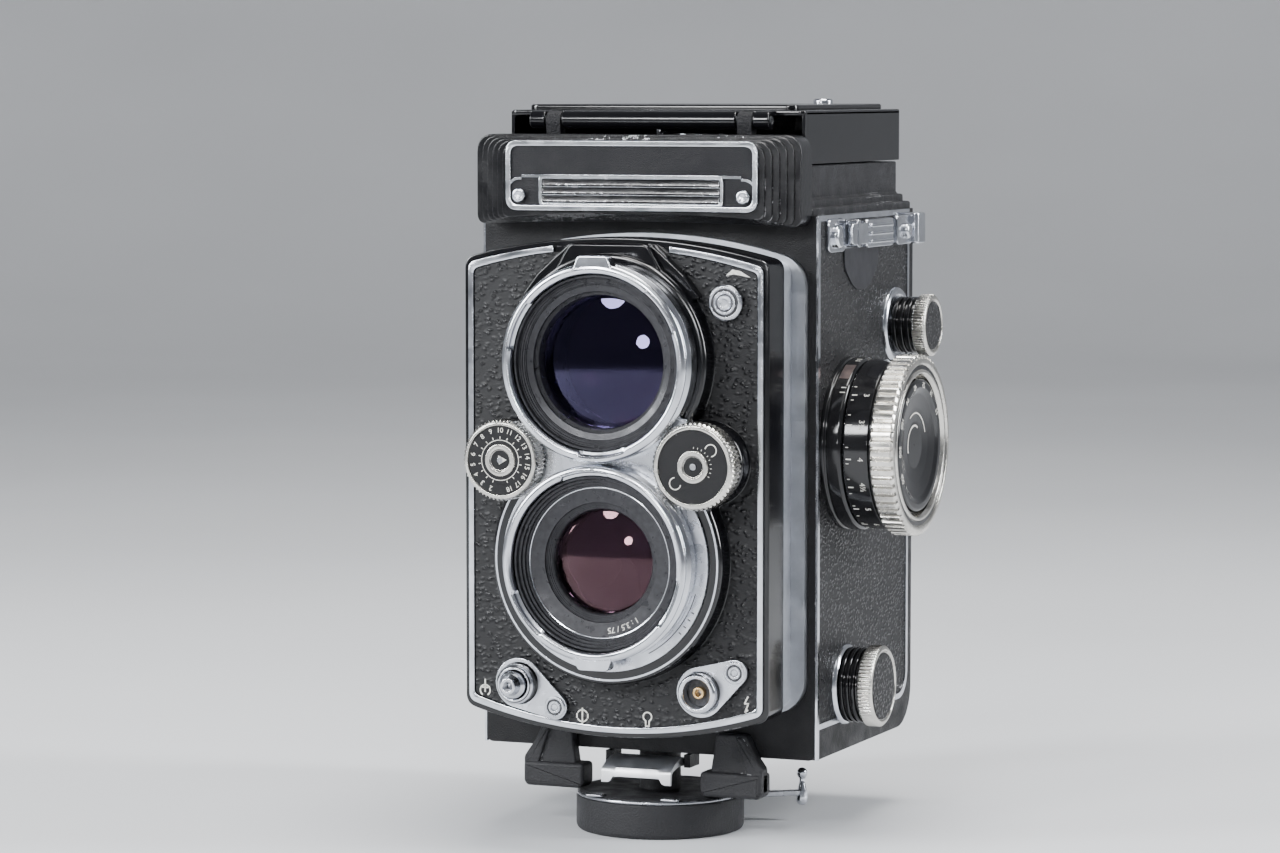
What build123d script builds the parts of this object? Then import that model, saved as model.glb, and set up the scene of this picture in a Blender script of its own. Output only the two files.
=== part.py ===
from build123d import *
import math
import os

# Twin lens reflex camera on its round tripod plate.
# Frame: origin at the centre of the tripod plate's underside, where the thread opens.
# +Z up, the lenses look along -Y, and the focusing knob is on the +X side. Millimetres.

# ---- main body ----
body_w = 76.8
body_front = -6.8
body_rear = 57.0
body_bottom = 17.3
body_top = 133.2
wall = 2.0
skin_t = 0.6
front_wall_t = 1.2
front_corner_r = 1.5
moving_gap = 0.3

# ---- lenses ----
lens_spacing = 42.0
taking_z = 61.0
bayonet_r = 20.75
bayonet_bore_r = 18.6
bayonet_front = -37.9
bayonet_lug_w = 9.0
bayonet_lug_h = 1.7
taking_glass_r = 11.0
viewing_glass_r = 14.0

# ---- front standard ----
plate_front = -26.2
trim_t = 0.8
plate_t = 1.5
skirt_t = 0.9
skirt_depth = 9.7
border_w = 33.6
border_low = 29.4
border_high = 123.1
border_sag_low = 5.4
border_sag_high = 4.6
border_strip = 1.3
plate_margin = 1.05
hide_t = 0.5
seat_fit = 0.03
housing_r = 26.2
housing_front = -30.5
scale_ring_r = 23.3
scale_ring_t = 0.7
viewing_seat_r = 22.6

# ---- exposure wheels ----
wheel_x = 21.8
wheel_z = 82.0
aperture_wheel_r = 8.6
shutter_wheel_r = 9.2
wheel_front = -36.2
wheel_rear = -31.6
wheel_post_r = 1.5

# ---- release, flash socket and small levers ----
release_x = -21.5
release_z = 33.7
socket_x = 20.1
socket_z = 33.9
collar_r = 4.2
collar_bore_r = 3.0
collar_front = -30.0
release_tip = -33.2
lever_front = -27.4
lever_rear = -26.2
lever_ring_r = 5.4
lock_pad = (-13.1, 29.0)
socket_pad = (27.8, 38.4)
lever_pad_r = 2.7
sync_x = 25.5
sync_z = 115.6
sync_pad_r = 3.8
turn_fit = 0.08

# ---- focusing ----
focus_y = 13.1
focus_z = 83.8
focus_wheel_r = 19.4
focus_wheel_w = 5.2
focus_reach = 16.6
scale_drum_r = 18.2
focus_collar_r = 18.6
focus_collar_w = 4.8
focus_shaft_r = 2.0
cam_r = 13.2
cam_t = 2.4
cam_inner = 32.0
cam_rest_radius = 10.0
cam_lead = 1.3
cam_back_turn = -4.1
cam_front_turn = 0.53
cam_end_room = 1.15
follower_r = 0.95
cam_groove_w = 2.2
rail_t = 1.4
rail_h = 6.0
dial_r = 14.4

# ---- film path ----
spool_r = 12.0
spool_half = 31.6
supply_y = 11.7
supply_z = 31.7
takeup_y = 43.2
takeup_z = 107.8
spool_core_r = 4.2
spool_bore_fit = 0.1
spindle_pin_r = 2.0
spindle_reach = 28.5
film_plane = 49.0
gate_size = 56.0
gate_t = 2.2
gate_rim = 1.0
roller_r = 2.3
roller_pin_r = 0.8
roller_low_gap = 1.5
roller_high_gap = 0.3
supply_knob_r = 8.78
takeup_knob_r = 6.87
takeup_flange = 1.6
far_supply_r = 7.3
supply_knob_w = 3.4
takeup_knob_w = 3.16
supply_knob_reach = 8.8
takeup_knob_reach = 9.2

# ---- reflex mirror and screen ----
mirror_offset = 86.3
mirror_t = 1.5
mirror_half = 27.0
septum_t = 1.2
screen_half = 29.5
screen_y0 = -3.0
screen_y1 = 49.0
screen_t = 1.5

# ---- back door ----
door_front = -4.7
door_t = 1.5
door_lip = 4.6
door_lip_t = 1.5
door_foot_lip = 6.4
door_corner_r = 9.0
hinge_y = 55.3
hinge_z = 127.8
hinge_pin_r = 0.8
hinge_knuckle_r = 1.6
door_top = 126.0
pressure_t = 1.2

# ---- feet, latch and tripod plate ----
foot_x0 = 13.5
foot_x1 = 27.6
foot_front = -11.2
foot_bottom = 9.0
foot_toe_top = 14.4
foot_top = 22.5
latch_half = 8.0
latch_front = -14.0
latch_y = -6.0
latch_z = 15.6
latch_pin_r = 0.6
tripod_r = 18.2
tripod_top = 8.6
tripod_boss_r = 4.5
thread_r = 4.76
thread_depth = 6.0
clamp_angle = 36.0
clamp_pivot_r = 14.6
clamp_tip_r = 32.0
clamp_z = 6.2

# ---- strap lugs ----
lug_y0 = -1.8
lug_y1 = 57.4
lug_z0 = 125.2
lug_z1 = 131.6
lug_proud = 3.4
tongue_y = (9.4, 31.0)
tongue_z = 116.5

# ---- viewing hood ----
hood_inset = 4.5
hood_low_inset = 1.2
hood_high_inset = 2.8
hood_step_z = 134.8
hood_floor_z = 136.4
hood_front = -5.8
hood_rear = 57.5
hood_wall = 1.6
hood_wall_top = 143.6
hood_front_top = 150.0
lid_axis_y = -5.6
lid_axis_z = 153.2
lid_barrel_r = 2.1
lid_pin_r = 0.9
lid_inset = 4.4
lid_rear = 59.5
lid_t = 1.2
lid_skin = 0.8
lid_skirt_bottom = 143.9
lid_raise = 1.2
lid_notch = 2.9
panel_t = 0.7
panel_barrel_r = 1.0
panel_pin_r = 0.5
side_panel_inset = 7.4
side_panel_z = 138.6
side_panel_len = 30.5
side_panel_mitre = 0.9
rear_panel_y = 54.6
rear_panel_z = 140.6
rear_panel_len = 26.0
magnifier_y = 30.0
magnifier_z = 148.4
magnifier_r = 9.0
lid_button_x = 20.0
lid_button_y = 47.0
lid_button_r = 2.2
name_inset = 1.2
name_side = -13.4
name_front = -16.4
name_steps = 5
name_step_in = 1.44
badge_t = 0.8
badge_screw_r = 1.5
badge_screw_in = 3.2
name_low = 129.6
name_high = 150.2
badge_half = 28.8
badge_low = 134.0
badge_high = 148.9

# ---- winding crank ----
crank_y = 26.0
crank_z = 92.0
crank_flange_r = 12.0
crank_hub_r = 7.5
crank_arm_len = 21.0
crank_arm_w = 6.4
crank_reach = 7.6
crank_arm_t = 2.0
crank_knob_r = 3.4
crank_angle = -40.0

viewing_z = taking_z + lens_spacing
body_half = body_w / 2
focus_face = body_half + focus_reach
supply_knob_face = body_half + supply_knob_reach
takeup_knob_face = body_half + takeup_knob_reach
crank_face = -body_half - crank_reach
hood_half = body_half - hood_inset
lid_half = body_half - lid_inset
side_panel_x = body_half - side_panel_inset
name_half = body_half - name_inset
spool_bore_r = spindle_pin_r + spool_bore_fit
case_half = body_half - skin_t
case_rear = body_rear - door_lip - moving_gap
case_low = body_bottom + door_foot_lip + moving_gap
plate_back = plate_front + trim_t + plate_t
plate_seat = plate_front + trim_t
roller_y = film_plane - roller_r - 0.1
roller_low_z = taking_z - gate_size / 2 - gate_rim - roller_r - roller_low_gap
roller_high_z = taking_z + gate_size / 2 + gate_rim + roller_r + roller_high_gap
nodes = {}


# ---- shape helpers ----
def block(x, y, z):
    size = Box(x[1] - x[0], y[1] - y[0], z[1] - z[0])
    return Pos((x[0] + x[1]) / 2, (y[0] + y[1]) / 2, (z[0] + z[1]) / 2) * size


def rod_x(y, z, r, x0, x1):
    return Pos((x0 + x1) / 2, y, z) * Rot(0, 90, 0) * Cylinder(r, x1 - x0)


def rod_y(x, z, r, y0, y1):
    return Pos(x, (y0 + y1) / 2, z) * Rot(90, 0, 0) * Cylinder(r, y1 - y0)


def rod_z(x, y, r, z0, z1):
    return Pos(x, y, (z0 + z1) / 2) * Cylinder(r, z1 - z0)


def tube_x(y, z, outer, inner, x0, x1):
    return rod_x(y, z, outer, x0, x1) - rod_x(y, z, inner, x0 - 1, x1 + 1)


def tube_y(x, z, outer, inner, y0, y1):
    return rod_y(x, z, outer, y0, y1) - rod_y(x, z, inner, y0 - 1, y1 + 1)


def turned(points):
    face = make_face(Plane.XZ * Polyline(*points, close=True))
    return revolve(face, Axis.Z)


def turned_x(points, y, z):
    return Pos(0, y, z) * Rot(0, 90, 0) * turned(points)


def turned_y(points, x, z):
    return Pos(x, 0, z) * Rot(90, 0, 0) * turned([(r, -y) for r, y in points])


def prism_x(sketch, x0, x1):
    return extrude(Plane.YZ.offset(x0) * sketch, x1 - x0)


def prism_y(sketch, y0, y1):
    return extrude(Plane.XZ.offset(-y1) * sketch, y1 - y0)


def prism_z(sketch, z0, z1):
    return extrude(Plane.XY.offset(z0) * sketch, z1 - z0)


def polygon(*points):
    return make_face(Polyline(*points, close=True))


def rect(a0, a1, b0, b1, r=0.0):
    sketch = polygon((a0, b0), (a1, b0), (a1, b1), (a0, b1))
    if r > 0:
        sketch = fillet(sketch.vertices(), r)
    return sketch


def both_sides(part):
    return part + mirror(part, about=Plane.YZ)


def save(name, part):
    part.label = name
    nodes[name] = part
    export_step(part, "parts/" + name + ".step")


# ---- body casting: side walls, front wall, chambers and top frame ----
def case_profile(grow=0.0):
    low = case_low - grow
    rear = case_rear + grow
    sketch = polygon((body_front, low), (rear, low), (rear, body_top), (body_front, body_top))
    corner = sketch.vertices().sort_by(lambda v: v.Y - v.X)[0]
    return fillet(corner, 6.0 + grow)


def septum():
    # sloping wall that carries the mirror and closes the taking chamber
    back = (mirror_t + 0.2) * math.sqrt(2)
    low = back + septum_t * math.sqrt(2)
    y0 = body_front + 1
    y1 = case_rear - 3
    sketch = polygon((y0, y0 + mirror_offset - low), (y1, y1 + mirror_offset - low),
                     (y1, y1 + mirror_offset - back), (y0, y0 + mirror_offset - back))
    plate = prism_x(sketch, -case_half + 1, case_half - 1)
    return plate - block((-50, 50), (-60, 90), (body_top - wall, body_top + 60))


def supply_chamber():
    # quarter round wall over the supply spool and the sloping floor behind it
    r = spool_r + 0.9
    arc = tube_x(supply_y, supply_z, r + 1.3, r, -case_half + 1, case_half - 1)
    arc &= block((-50, 50), (supply_y, supply_y + 40), (supply_z, supply_z + 40))
    roof = block((-case_half + 1, case_half - 1), (body_front + 1, supply_y),
                 (supply_z + r, supply_z + r + 1.3))
    gate_low = taking_z - gate_size / 2 - gate_rim
    ramp = prism_x(polygon((supply_y + r, supply_z), (supply_y + r + 1.3, supply_z),
                           (film_plane - gate_t, gate_low), (film_plane - gate_t, gate_low - 1.3)),
                   -case_half + 1, case_half - 1)
    return arc + roof + ramp


def body_shell():
    outer = prism_x(case_profile(), -case_half, case_half)
    inner = block((-case_half + wall, case_half - wall), (body_front + front_wall_t, 80),
                  (0, body_top - wall))
    shell = outer - inner
    front = prism_y(rect(-body_half + 0.2, body_half - 0.2, body_bottom + 0.2, body_top,
                         front_corner_r), body_front, body_front + front_wall_t)
    shell += front
    shell += block((-case_half, case_half), (case_rear - 5, body_rear),
                   (hinge_z + 2.0, body_top))
    shell -= block((-case_half + wall, case_half - wall), (0, case_rear - 4), (0, body_top - wall))
    gate_high = taking_z + gate_size / 2 + gate_rim
    ceiling = block((-case_half + 1, case_half - 1), (10.5, film_plane - 5.6),
                    (gate_high + 0.5, gate_high + 2.0))
    inside = septum() + supply_chamber() + ceiling
    cam_room = rod_x(focus_y, focus_z, cam_r + 1.2, cam_inner - rail_t - 1.0, case_half - wall)
    cam_room += block((cam_inner - rail_t - 1.0, cam_inner), (body_front, focus_y),
                      (focus_z - rail_h / 2 - 0.6, focus_z + rail_h / 2 + 0.6))
    shell += inside - both_sides(cam_room)
    shell -= rod_y(0, taking_z, 20.0, body_front - 1, body_front + 3)
    shell -= rod_y(0, viewing_z, 17.5, body_front - 1, body_front + 3)
    slot = block((cam_inner - rail_t - 0.9, cam_inner), (body_front - 1, body_front + 3),
                 (focus_z - rail_h / 2 - 0.4, focus_z + rail_h / 2 + 0.4))
    shell -= both_sides(slot)
    shell -= block((-screen_half + 1.2, screen_half - 1.2), (screen_y0 + 1, screen_y1 - 1.5),
                   (body_top - wall - 1, body_top + 1))
    shell -= block((-screen_half, screen_half), (screen_y0, screen_y1),
                   (body_top - screen_t, body_top + 1))
    shell -= rod_x(focus_y, focus_z, focus_shaft_r + 0.06, 0, 60)
    shell -= rod_x(focus_y, focus_z, focus_shaft_r + 0.06, -case_half + 0.9, 0)
    for y, z in ((supply_y, supply_z), (takeup_y, takeup_z)):
        shell -= rod_x(y, z, spindle_pin_r + 0.05, 0, 60)
        shell -= rod_x(y, z, spindle_pin_r, -60, 0)
    for z in (roller_low_z, roller_high_z):
        shell -= rod_x(roller_y, z, roller_pin_r + turn_fit, -case_half + 0.4, case_half - 0.4)
    knuckle = rod_x(hinge_y, hinge_z, hinge_knuckle_r, 20.3, 34.0)
    knuckle += block((20.3, 34.0), (hinge_y - hinge_knuckle_r, hinge_y), (hinge_z, hinge_z + 3))
    shell += both_sides(knuckle)
    shell -= rod_x(hinge_y, hinge_z, hinge_pin_r, -40, 40)
    shell -= rod_x(crank_y, crank_z, 3.0, -60, -30)
    return shell


# ---- satin flange and light trap that the standard slides over ----
def arched(half, low, high, sag_low, sag_high, r=0.0):
    edges = Line((-half, low), (-half, high))
    edges += ThreePointArc((-half, high), (0, high + sag_high), (half, high))
    edges += Line((half, high), (half, low))
    edges += ThreePointArc((half, low), (0, low - sag_low), (-half, low))
    sketch = make_face(edges)
    if r > 0:
        sketch = fillet(sketch.vertices(), r)
    return sketch


def plate_outline(grow, r):
    return arched(border_w + grow, border_low - grow, border_high + grow,
                  border_sag_low, border_sag_high, r)


def front_flange():
    band = arched(36.4, 29.6, 123.4, 6.4, 5.8, 7.0) - plate_outline(-2.6, 3.0)
    flange = prism_y(band, body_front - 2.0, body_front)
    trap = plate_outline(plate_margin - skirt_t - 0.35, 3.0) - plate_outline(-1.1, 2.4)
    slot = block((cam_inner - rail_t - 0.9, cam_inner + 0.1), (-30, 0),
                 (focus_z - rail_h / 2 - 0.4, focus_z + rail_h / 2 + 0.4))
    flange -= both_sides(slot)
    return flange + prism_y(trap, plate_front + skirt_depth + 0.4, body_front - 1.9)


def film_gate():
    half = gate_size / 2
    z0 = taking_z - half - gate_rim
    z1 = taking_z + half + gate_rim
    frame = block((-case_half + wall, case_half - wall), (film_plane - gate_t, film_plane), (z0, z1))
    frame -= block((-half, half), (film_plane - 10, film_plane + 10),
                   (taking_z - half, taking_z + half))
    rail = block((half + 1, half + 2.4), (film_plane, film_plane + 0.5), (z0, z1))
    return frame + both_sides(rail)


def film_roller(z):
    end = case_half - wall - 0.4
    roller = rod_x(roller_y, z, roller_r, -end, end)
    roller += rod_x(roller_y, z, roller_pin_r, -end - 1.2, end + 1.2)
    return roller - tube_x(roller_y, z, roller_r + 1, roller_r - 0.5, -12, 12)


def mirror_glass():
    shift = mirror_t * math.sqrt(2)
    y0 = -2.0
    y1 = body_top - wall - 0.5 - mirror_offset
    sketch = polygon((y0, y0 + mirror_offset), (y1, y1 + mirror_offset),
                     (y1 + shift / 2, y1 + mirror_offset - shift / 2),
                     (y0 + shift / 2, y0 + mirror_offset - shift / 2))
    return prism_x(sketch, -mirror_half, mirror_half)


def ground_glass():
    return block((-screen_half, screen_half), (screen_y0, screen_y1), (body_top - screen_t, body_top))


def side_trims():
    outer = polygon((body_front, body_bottom + 0.2), (body_front + 1.2, body_bottom + 0.2),
                    (body_front + 1.2, case_low), (case_rear, case_low),
                    (case_rear, body_top), (body_front, body_top))
    corner = outer.vertices().sort_by(lambda v: v.Y - v.X)[0:1]
    outer = fillet(corner, 6.0)
    strip = prism_x(outer - side_hide_outline(0.0), case_half, body_half + 0.3)
    strip -= block((0, body_half - 0.2), (body_front - 1, body_front + front_wall_t), (0, 200))
    strip -= rod_x(supply_y, supply_z, supply_knob_r, 30, 60)
    strip -= rod_x(takeup_y, takeup_z, takeup_knob_r + takeup_flange, 30, 60)
    return both_sides(strip) - strap_lugs()


def side_hide_outline(shrink):
    edge = 1.2 + shrink
    sketch = rect(body_front + edge, case_rear - edge, case_low + edge, body_top - edge)
    corner = sketch.vertices().sort_by(lambda v: v.Y - v.X)[0]
    return fillet(corner, 5.0)


def side_leatherette():
    right = prism_x(side_hide_outline(0.0), case_half, body_half)
    holes = rod_x(focus_y, focus_z, focus_collar_r + seat_fit, 30, 60)
    holes += rod_x(supply_y, supply_z, supply_knob_r + seat_fit, 30, 60)
    holes += rod_x(takeup_y, takeup_z, takeup_knob_r + takeup_flange + seat_fit, 30, 60)
    left = mirror(right, about=Plane.YZ)
    left -= rod_x(supply_y, supply_z, far_supply_r + seat_fit, -60, -30)
    left -= rod_x(takeup_y, takeup_z, takeup_knob_r + seat_fit, -60, -30)
    left -= rod_x(crank_y, crank_z, crank_flange_r + seat_fit, -60, -30)
    return (right - holes) + left


def strap_lugs():
    # base plate with a rounded tongue, two end posts and the strap bar
    y0 = lug_y0
    y1 = lug_y1
    z0 = lug_z0
    z1 = lug_z1
    proud = body_half + lug_proud
    plate = block((body_half, body_half + 0.7), (y0 + 1, y1 - 7.4), (z0, z1))
    tongue = rect(*tongue_y, tongue_z, z0 + 0.8)
    tongue = fillet(tongue.vertices().sort_by(Axis.Y)[0:2], 8.0)
    plate += prism_x(tongue, body_half, body_half + 0.6)
    front_post = block((body_half, proud), (y0, y0 + 9.0), (z0, z1 + 0.8))
    rear_post = block((body_half + 1.8, proud), (y1 - 19.4, y1 - 2.0), (z0 + 0.4, z1 + 0.4))
    rear_post += block((body_half, proud), (y1 - 15.4, y1 - 9.4), (z0 + 0.4, z1 + 0.4))
    cap = rod_z(body_half + lug_proud / 2, y1 - 3.0, 3.0, z0 + 0.4, z1 + 0.8)
    cap -= block((0, body_half), (0, 70), (100, 140))
    bar = block((body_half + 1.6, proud + 0.2), (y0 + 8.0, y1 - 17.4), (z0 + 1.2, z1))
    return both_sides(plate + front_post + rear_post + cap + bar)


def knob_flanges():
    upper = tube_x(takeup_y, takeup_z, takeup_knob_r + takeup_flange, spindle_pin_r + 0.1,
                   case_half, body_half + 1.0)
    lower = tube_x(supply_y, supply_z, supply_knob_r, spindle_pin_r + 0.1,
                   case_half, body_half + 1.0)
    far_low = rod_x(supply_y, supply_z, far_supply_r, -body_half - 1.2, -case_half)
    far_low += rod_x(supply_y, supply_z, spindle_pin_r, -case_half - 0.5, -spindle_reach)
    far_high = rod_x(takeup_y, takeup_z, takeup_knob_r, -body_half - 1.2, -case_half)
    far_high += rod_x(takeup_y, takeup_z, spindle_pin_r, -case_half - 0.5, -spindle_reach)
    ring = rod_x(crank_y, crank_z, crank_flange_r, -body_half - 1.4, -case_half)
    ring -= rod_x(crank_y, crank_z, 3.0, -60, -30)
    return upper + lower + far_low + far_high + ring


def focus_collar():
    x1 = body_half + focus_collar_w
    collar = rod_x(focus_y, focus_z, focus_collar_r, case_half, x1)
    collar -= rod_x(focus_y, focus_z, scale_drum_r - 1.6, body_half + 1.2, x1 + 1)
    return collar - rod_x(focus_y, focus_z, focus_shaft_r + 0.06, 0, 80)


# ---- front standard ----
def front_plate():
    outline = plate_outline(plate_margin, 3.4)
    plate = prism_y(outline, plate_seat, plate_back)
    skirt = outline - plate_outline(plate_margin - skirt_t, 2.6)
    plate += prism_y(skirt, plate_back, plate_front + skirt_depth)
    plate -= rod_y(0, taking_z, 15.0, -40, 0)
    plate -= rod_y(0, viewing_z, 15.0, -40, 0)
    plate -= rod_y(release_x, release_z, collar_bore_r, -40, 0)
    bracket = block((cam_inner - rail_t - 0.3, cam_inner - 0.3),
                    (plate_back, focus_y - cam_rest_radius + 1.4),
                    (focus_z - rail_h / 2, focus_z + rail_h / 2))
    pin = rod_x(focus_y - cam_rest_radius, focus_z, follower_r, cam_inner - rail_t, cam_inner + cam_t - 0.8)
    return plate + both_sides(bracket + pin)


def front_trim():
    strip = plate_outline(0.0, 2.6) - plate_outline(-border_strip, 1.6)
    trim = prism_y(strip, plate_front, plate_seat)
    return trim - block((-11.6, 11.6), (-40, 0), (118, 140))


def housing_sketch(grow=0.0):
    sketch = Pos(0, taking_z) * Circle(housing_r + grow)
    sketch += Pos(0, viewing_z) * Circle(viewing_seat_r + grow)
    for x, r in ((-wheel_x, aperture_wheel_r), (wheel_x, shutter_wheel_r)):
        sketch += Pos(x, wheel_z) * Circle(r - 0.6 + grow)
    return sketch


def lens_housing():
    case = prism_y(housing_sketch(), housing_front, plate_seat)
    seat = rod_y(0, viewing_z, bayonet_r, housing_front - scale_ring_t, housing_front)
    case += seat - rod_y(0, taking_z, scale_ring_r, -60, 0)
    case -= rod_y(0, taking_z, bayonet_bore_r, -60, 0)
    case -= rod_y(0, viewing_z, bayonet_bore_r, -60, 0)
    for x in (-wheel_x, wheel_x):
        case += rod_y(x, wheel_z, wheel_post_r, wheel_front + 0.6, housing_front)
    return case


def scale_visor():
    sketch = polygon((-11.4, 123.4), (11.4, 123.4), (8.6, 127.6), (-8.6, 127.6))
    visor = prism_y(sketch, housing_front + 1.2, plate_seat)
    return visor - rod_y(0, viewing_z, viewing_seat_r, -60, 0)


def front_leatherette():
    sheet = prism_y(plate_outline(-border_strip, 1.6), plate_seat - hide_t, plate_seat)
    sheet -= prism_y(housing_sketch(seat_fit), -40, 0)
    sheet -= block((-11.6, 11.6), (-40, 0), (122, 140))
    sheet -= rod_y(release_x, release_z, collar_r, -40, 0)
    sheet -= rod_y(socket_x, socket_z, collar_r, -40, 0)
    return sheet - rod_y(sync_x, sync_z, 1.6, -40, 0)


def scale_ring():
    return tube_y(0, taking_z, scale_ring_r, bayonet_bore_r, housing_front - scale_ring_t, housing_front)


def bayonet(z, rear, up):
    ring = tube_y(0, z, bayonet_r, bayonet_bore_r, bayonet_front, rear)
    tip = bayonet_r + bayonet_lug_h
    lug = block((-bayonet_lug_w / 2, bayonet_lug_w / 2), (bayonet_front, bayonet_front + 3.2),
                (z + up * bayonet_r - 1.0 if up > 0 else z - tip,
                 z + tip if up > 0 else z - bayonet_r + 1.0))
    return ring + lug


def lens_barrel(z, glass_r, rear):
    # stepped tube with a stack of baffle steps down to the glass
    step = (bayonet_bore_r - 1.0 - glass_r) / 4
    front = bayonet_front + 1.4
    outer = bayonet_bore_r - seat_fit
    points = [(outer, plate_seat), (outer, front), (bayonet_bore_r - 1.0, front)]
    y = front
    for i in range(4):
        y += 1.1
        points.append((bayonet_bore_r - 1.0 - step * i, y))
        points.append((bayonet_bore_r - 1.0 - step * (i + 1), y))
    points += [(glass_r, rear), (14.2, rear), (14.2, plate_seat)]
    return turned_y(points, 0, z)


def lens_element(z, r, y_front, y_rear, bulge):
    curve = (r * r + bulge * bulge) / (2 * bulge)
    ball = Pos(0, y_front + curve, z) * Sphere(curve)
    return rod_y(0, z, r, y_front, y_rear) & ball


def lens_glass(z, r):
    front = lens_element(z, r - seat_fit, bayonet_front + 6.2, bayonet_front + 10.0, 1.4)
    rear = lens_element(z, r - seat_fit, -17.0, -14.0, 1.0)
    return front + rear


def shutter_leaves():
    # five overlapping leaves and the iris behind them, as two rings of blades
    leaves = None
    for i in range(5):
        blade = rect(-4.6, 4.6, 0.4, taking_glass_r - 1.2, 1.5)
        blade = Rot(0, 0, i * 72) * blade
        solid = prism_y(Pos(0, taking_z) * blade, -24.0 + 0.34 * i, -23.7 + 0.34 * i)
        leaves = solid if leaves is None else leaves + solid
    iris = tube_y(0, taking_z, taking_glass_r - 0.2, 6.0, -21.6, -21.2)
    return leaves + iris


def release_collar():
    return tube_y(release_x, release_z, collar_r, collar_bore_r, collar_front, plate_seat)


def flash_socket():
    shell = tube_y(socket_x, socket_z, collar_r, 3.0, collar_front, plate_seat)
    shell += rod_y(socket_x, socket_z, 3.2, plate_seat - 1.6, plate_seat)
    return shell + tube_y(socket_x, socket_z, 1.3, 0.6, collar_front + 1.4, plate_seat - 1.2)


# ---- parts that the fingers move on the front ----
def exposure_wheel(x, r):
    wheel = rod_y(x, wheel_z, r, wheel_front, wheel_rear)
    wheel -= rod_y(x, wheel_z, wheel_post_r + turn_fit, wheel_front + 0.4, 0)
    return wheel - tube_y(x, wheel_z, r - 1.4, r - 5.0, wheel_front - 1, wheel_front + 0.5)


def release_button():
    stem = collar_bore_r - turn_fit
    button = rod_y(release_x, release_z, stem, collar_front - 1.0, plate_back - 0.5)
    button += turned_y([(0, collar_front - 1.0), (2.3, collar_front - 1.0),
                        (1.7, release_tip), (0, release_tip)], release_x, release_z)
    return button - rod_y(release_x, release_z, 0.9, release_tip - 1, release_tip + 1.6)


def lever(x, z, pad):
    ring = tube_y(x, z, lever_ring_r, collar_r + turn_fit, lever_front, lever_rear)
    reach = math.hypot(pad[0] - x, pad[1] - z)
    angle = math.degrees(math.atan2(pad[1] - z, pad[0] - x))
    arm = polygon((0, -lever_ring_r + 0.5), (reach, -lever_pad_r + 0.2),
                  (reach, lever_pad_r - 0.2), (0, lever_ring_r - 0.5))
    arm = Pos(x, z) * Rot(0, 0, angle) * arm
    arm = prism_y(arm, lever_front, lever_rear) - rod_y(x, z, collar_r + turn_fit, -60, 0)
    return ring + arm + rod_y(pad[0], pad[1], lever_pad_r, lever_front - 0.6, lever_rear)


def sync_lever():
    pad = rod_y(sync_x, sync_z, sync_pad_r, lever_front - 0.8, lever_rear)
    return pad + rod_y(sync_x, sync_z, 1.5, lever_rear, plate_seat - 0.1)


# ---- focusing knob ----
def focus_knob():
    x0 = focus_face - focus_wheel_w
    wheel = rod_x(focus_y, focus_z, focus_wheel_r, x0, focus_face)
    wheel -= rod_x(focus_y, focus_z, dial_r + moving_gap, focus_face - 2.6, focus_face + 1)
    return wheel - rod_x(focus_y, focus_z, focus_shaft_r, 0, x0 + 1.5)


def distance_drum():
    x0 = body_half + focus_collar_w + moving_gap
    x1 = focus_face - focus_wheel_w
    drum = tube_x(focus_y, focus_z, scale_drum_r, scale_drum_r - 1.6, x0, x1)
    drum += tube_x(focus_y, focus_z, scale_drum_r - 1.0, focus_shaft_r, x1 - 1.2, x1)
    return drum


def spiral_point(turn, side):
    r = cam_rest_radius + cam_lead * turn + side * cam_groove_w / 2
    return (focus_y - r * math.cos(turn), focus_z + r * math.sin(turn))


def cam_groove():
    # spiral groove: one turn of the shaft moves the follower by cam_lead each radian
    first = cam_back_turn - cam_end_room / (cam_rest_radius + cam_lead * cam_back_turn)
    last = cam_front_turn + cam_end_room / cam_rest_radius
    count = 24
    turns = [first + (last - first) * i / count for i in range(count + 1)]
    outer = Spline(*[spiral_point(t, 1) for t in turns])
    inner = Spline(*[spiral_point(t, -1) for t in turns])
    ends = Line(outer @ 0, inner @ 0) + Line(outer @ 1, inner @ 1)
    return make_face(outer + inner + ends)


def focus_shaft():
    x1 = focus_face - focus_wheel_w + 1.5
    shaft = rod_x(focus_y, focus_z, focus_shaft_r, -case_half + 1.0, x1)
    cam = rod_x(focus_y, focus_z, cam_r, cam_inner, cam_inner + cam_t)
    cam -= prism_x(cam_groove(), cam_inner - 0.5, cam_inner + cam_t - 0.5)
    far = mirror(cam, about=Plane.YZ)
    return shaft + cam + far


def reminder_dial():
    return turned_x([(0, focus_face - 2.3), (dial_r, focus_face - 2.3), (dial_r, focus_face - 0.4),
                     (dial_r - 3.0, focus_face - 0.4), (dial_r - 3.6, focus_face - 0.9),
                     (0, focus_face - 0.9)], focus_y, focus_z)


# ---- spool knobs ----
def spool_spindle(y, z, r, face, width):
    x0 = body_half + 1.0 + moving_gap
    x1 = face - width - 0.15
    pin = rod_x(y, z, spindle_pin_r, spindle_reach, face - 1.2)
    points = [(0, x0), (r - 0.6, x0)]
    pitch = (x1 - x0) / 3
    for i in range(3):
        x = x0 + pitch * i
        points += [(r - 0.6, x + pitch * 0.55), (r - 1.3, x + pitch * 0.6), (r - 1.3, x + pitch * 0.95)]
        if i < 2:
            points.append((r - 0.6, x + pitch))
    points += [(r - 1.3, x1), (0, x1)]
    return pin + turned_x(points, y, z)


def spool_knob(y, z, r, face, width):
    knob = rod_x(y, z, r, face - width, face)
    return knob - rod_x(y, z, spindle_pin_r + turn_fit, 0, face - 1.0)


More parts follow.
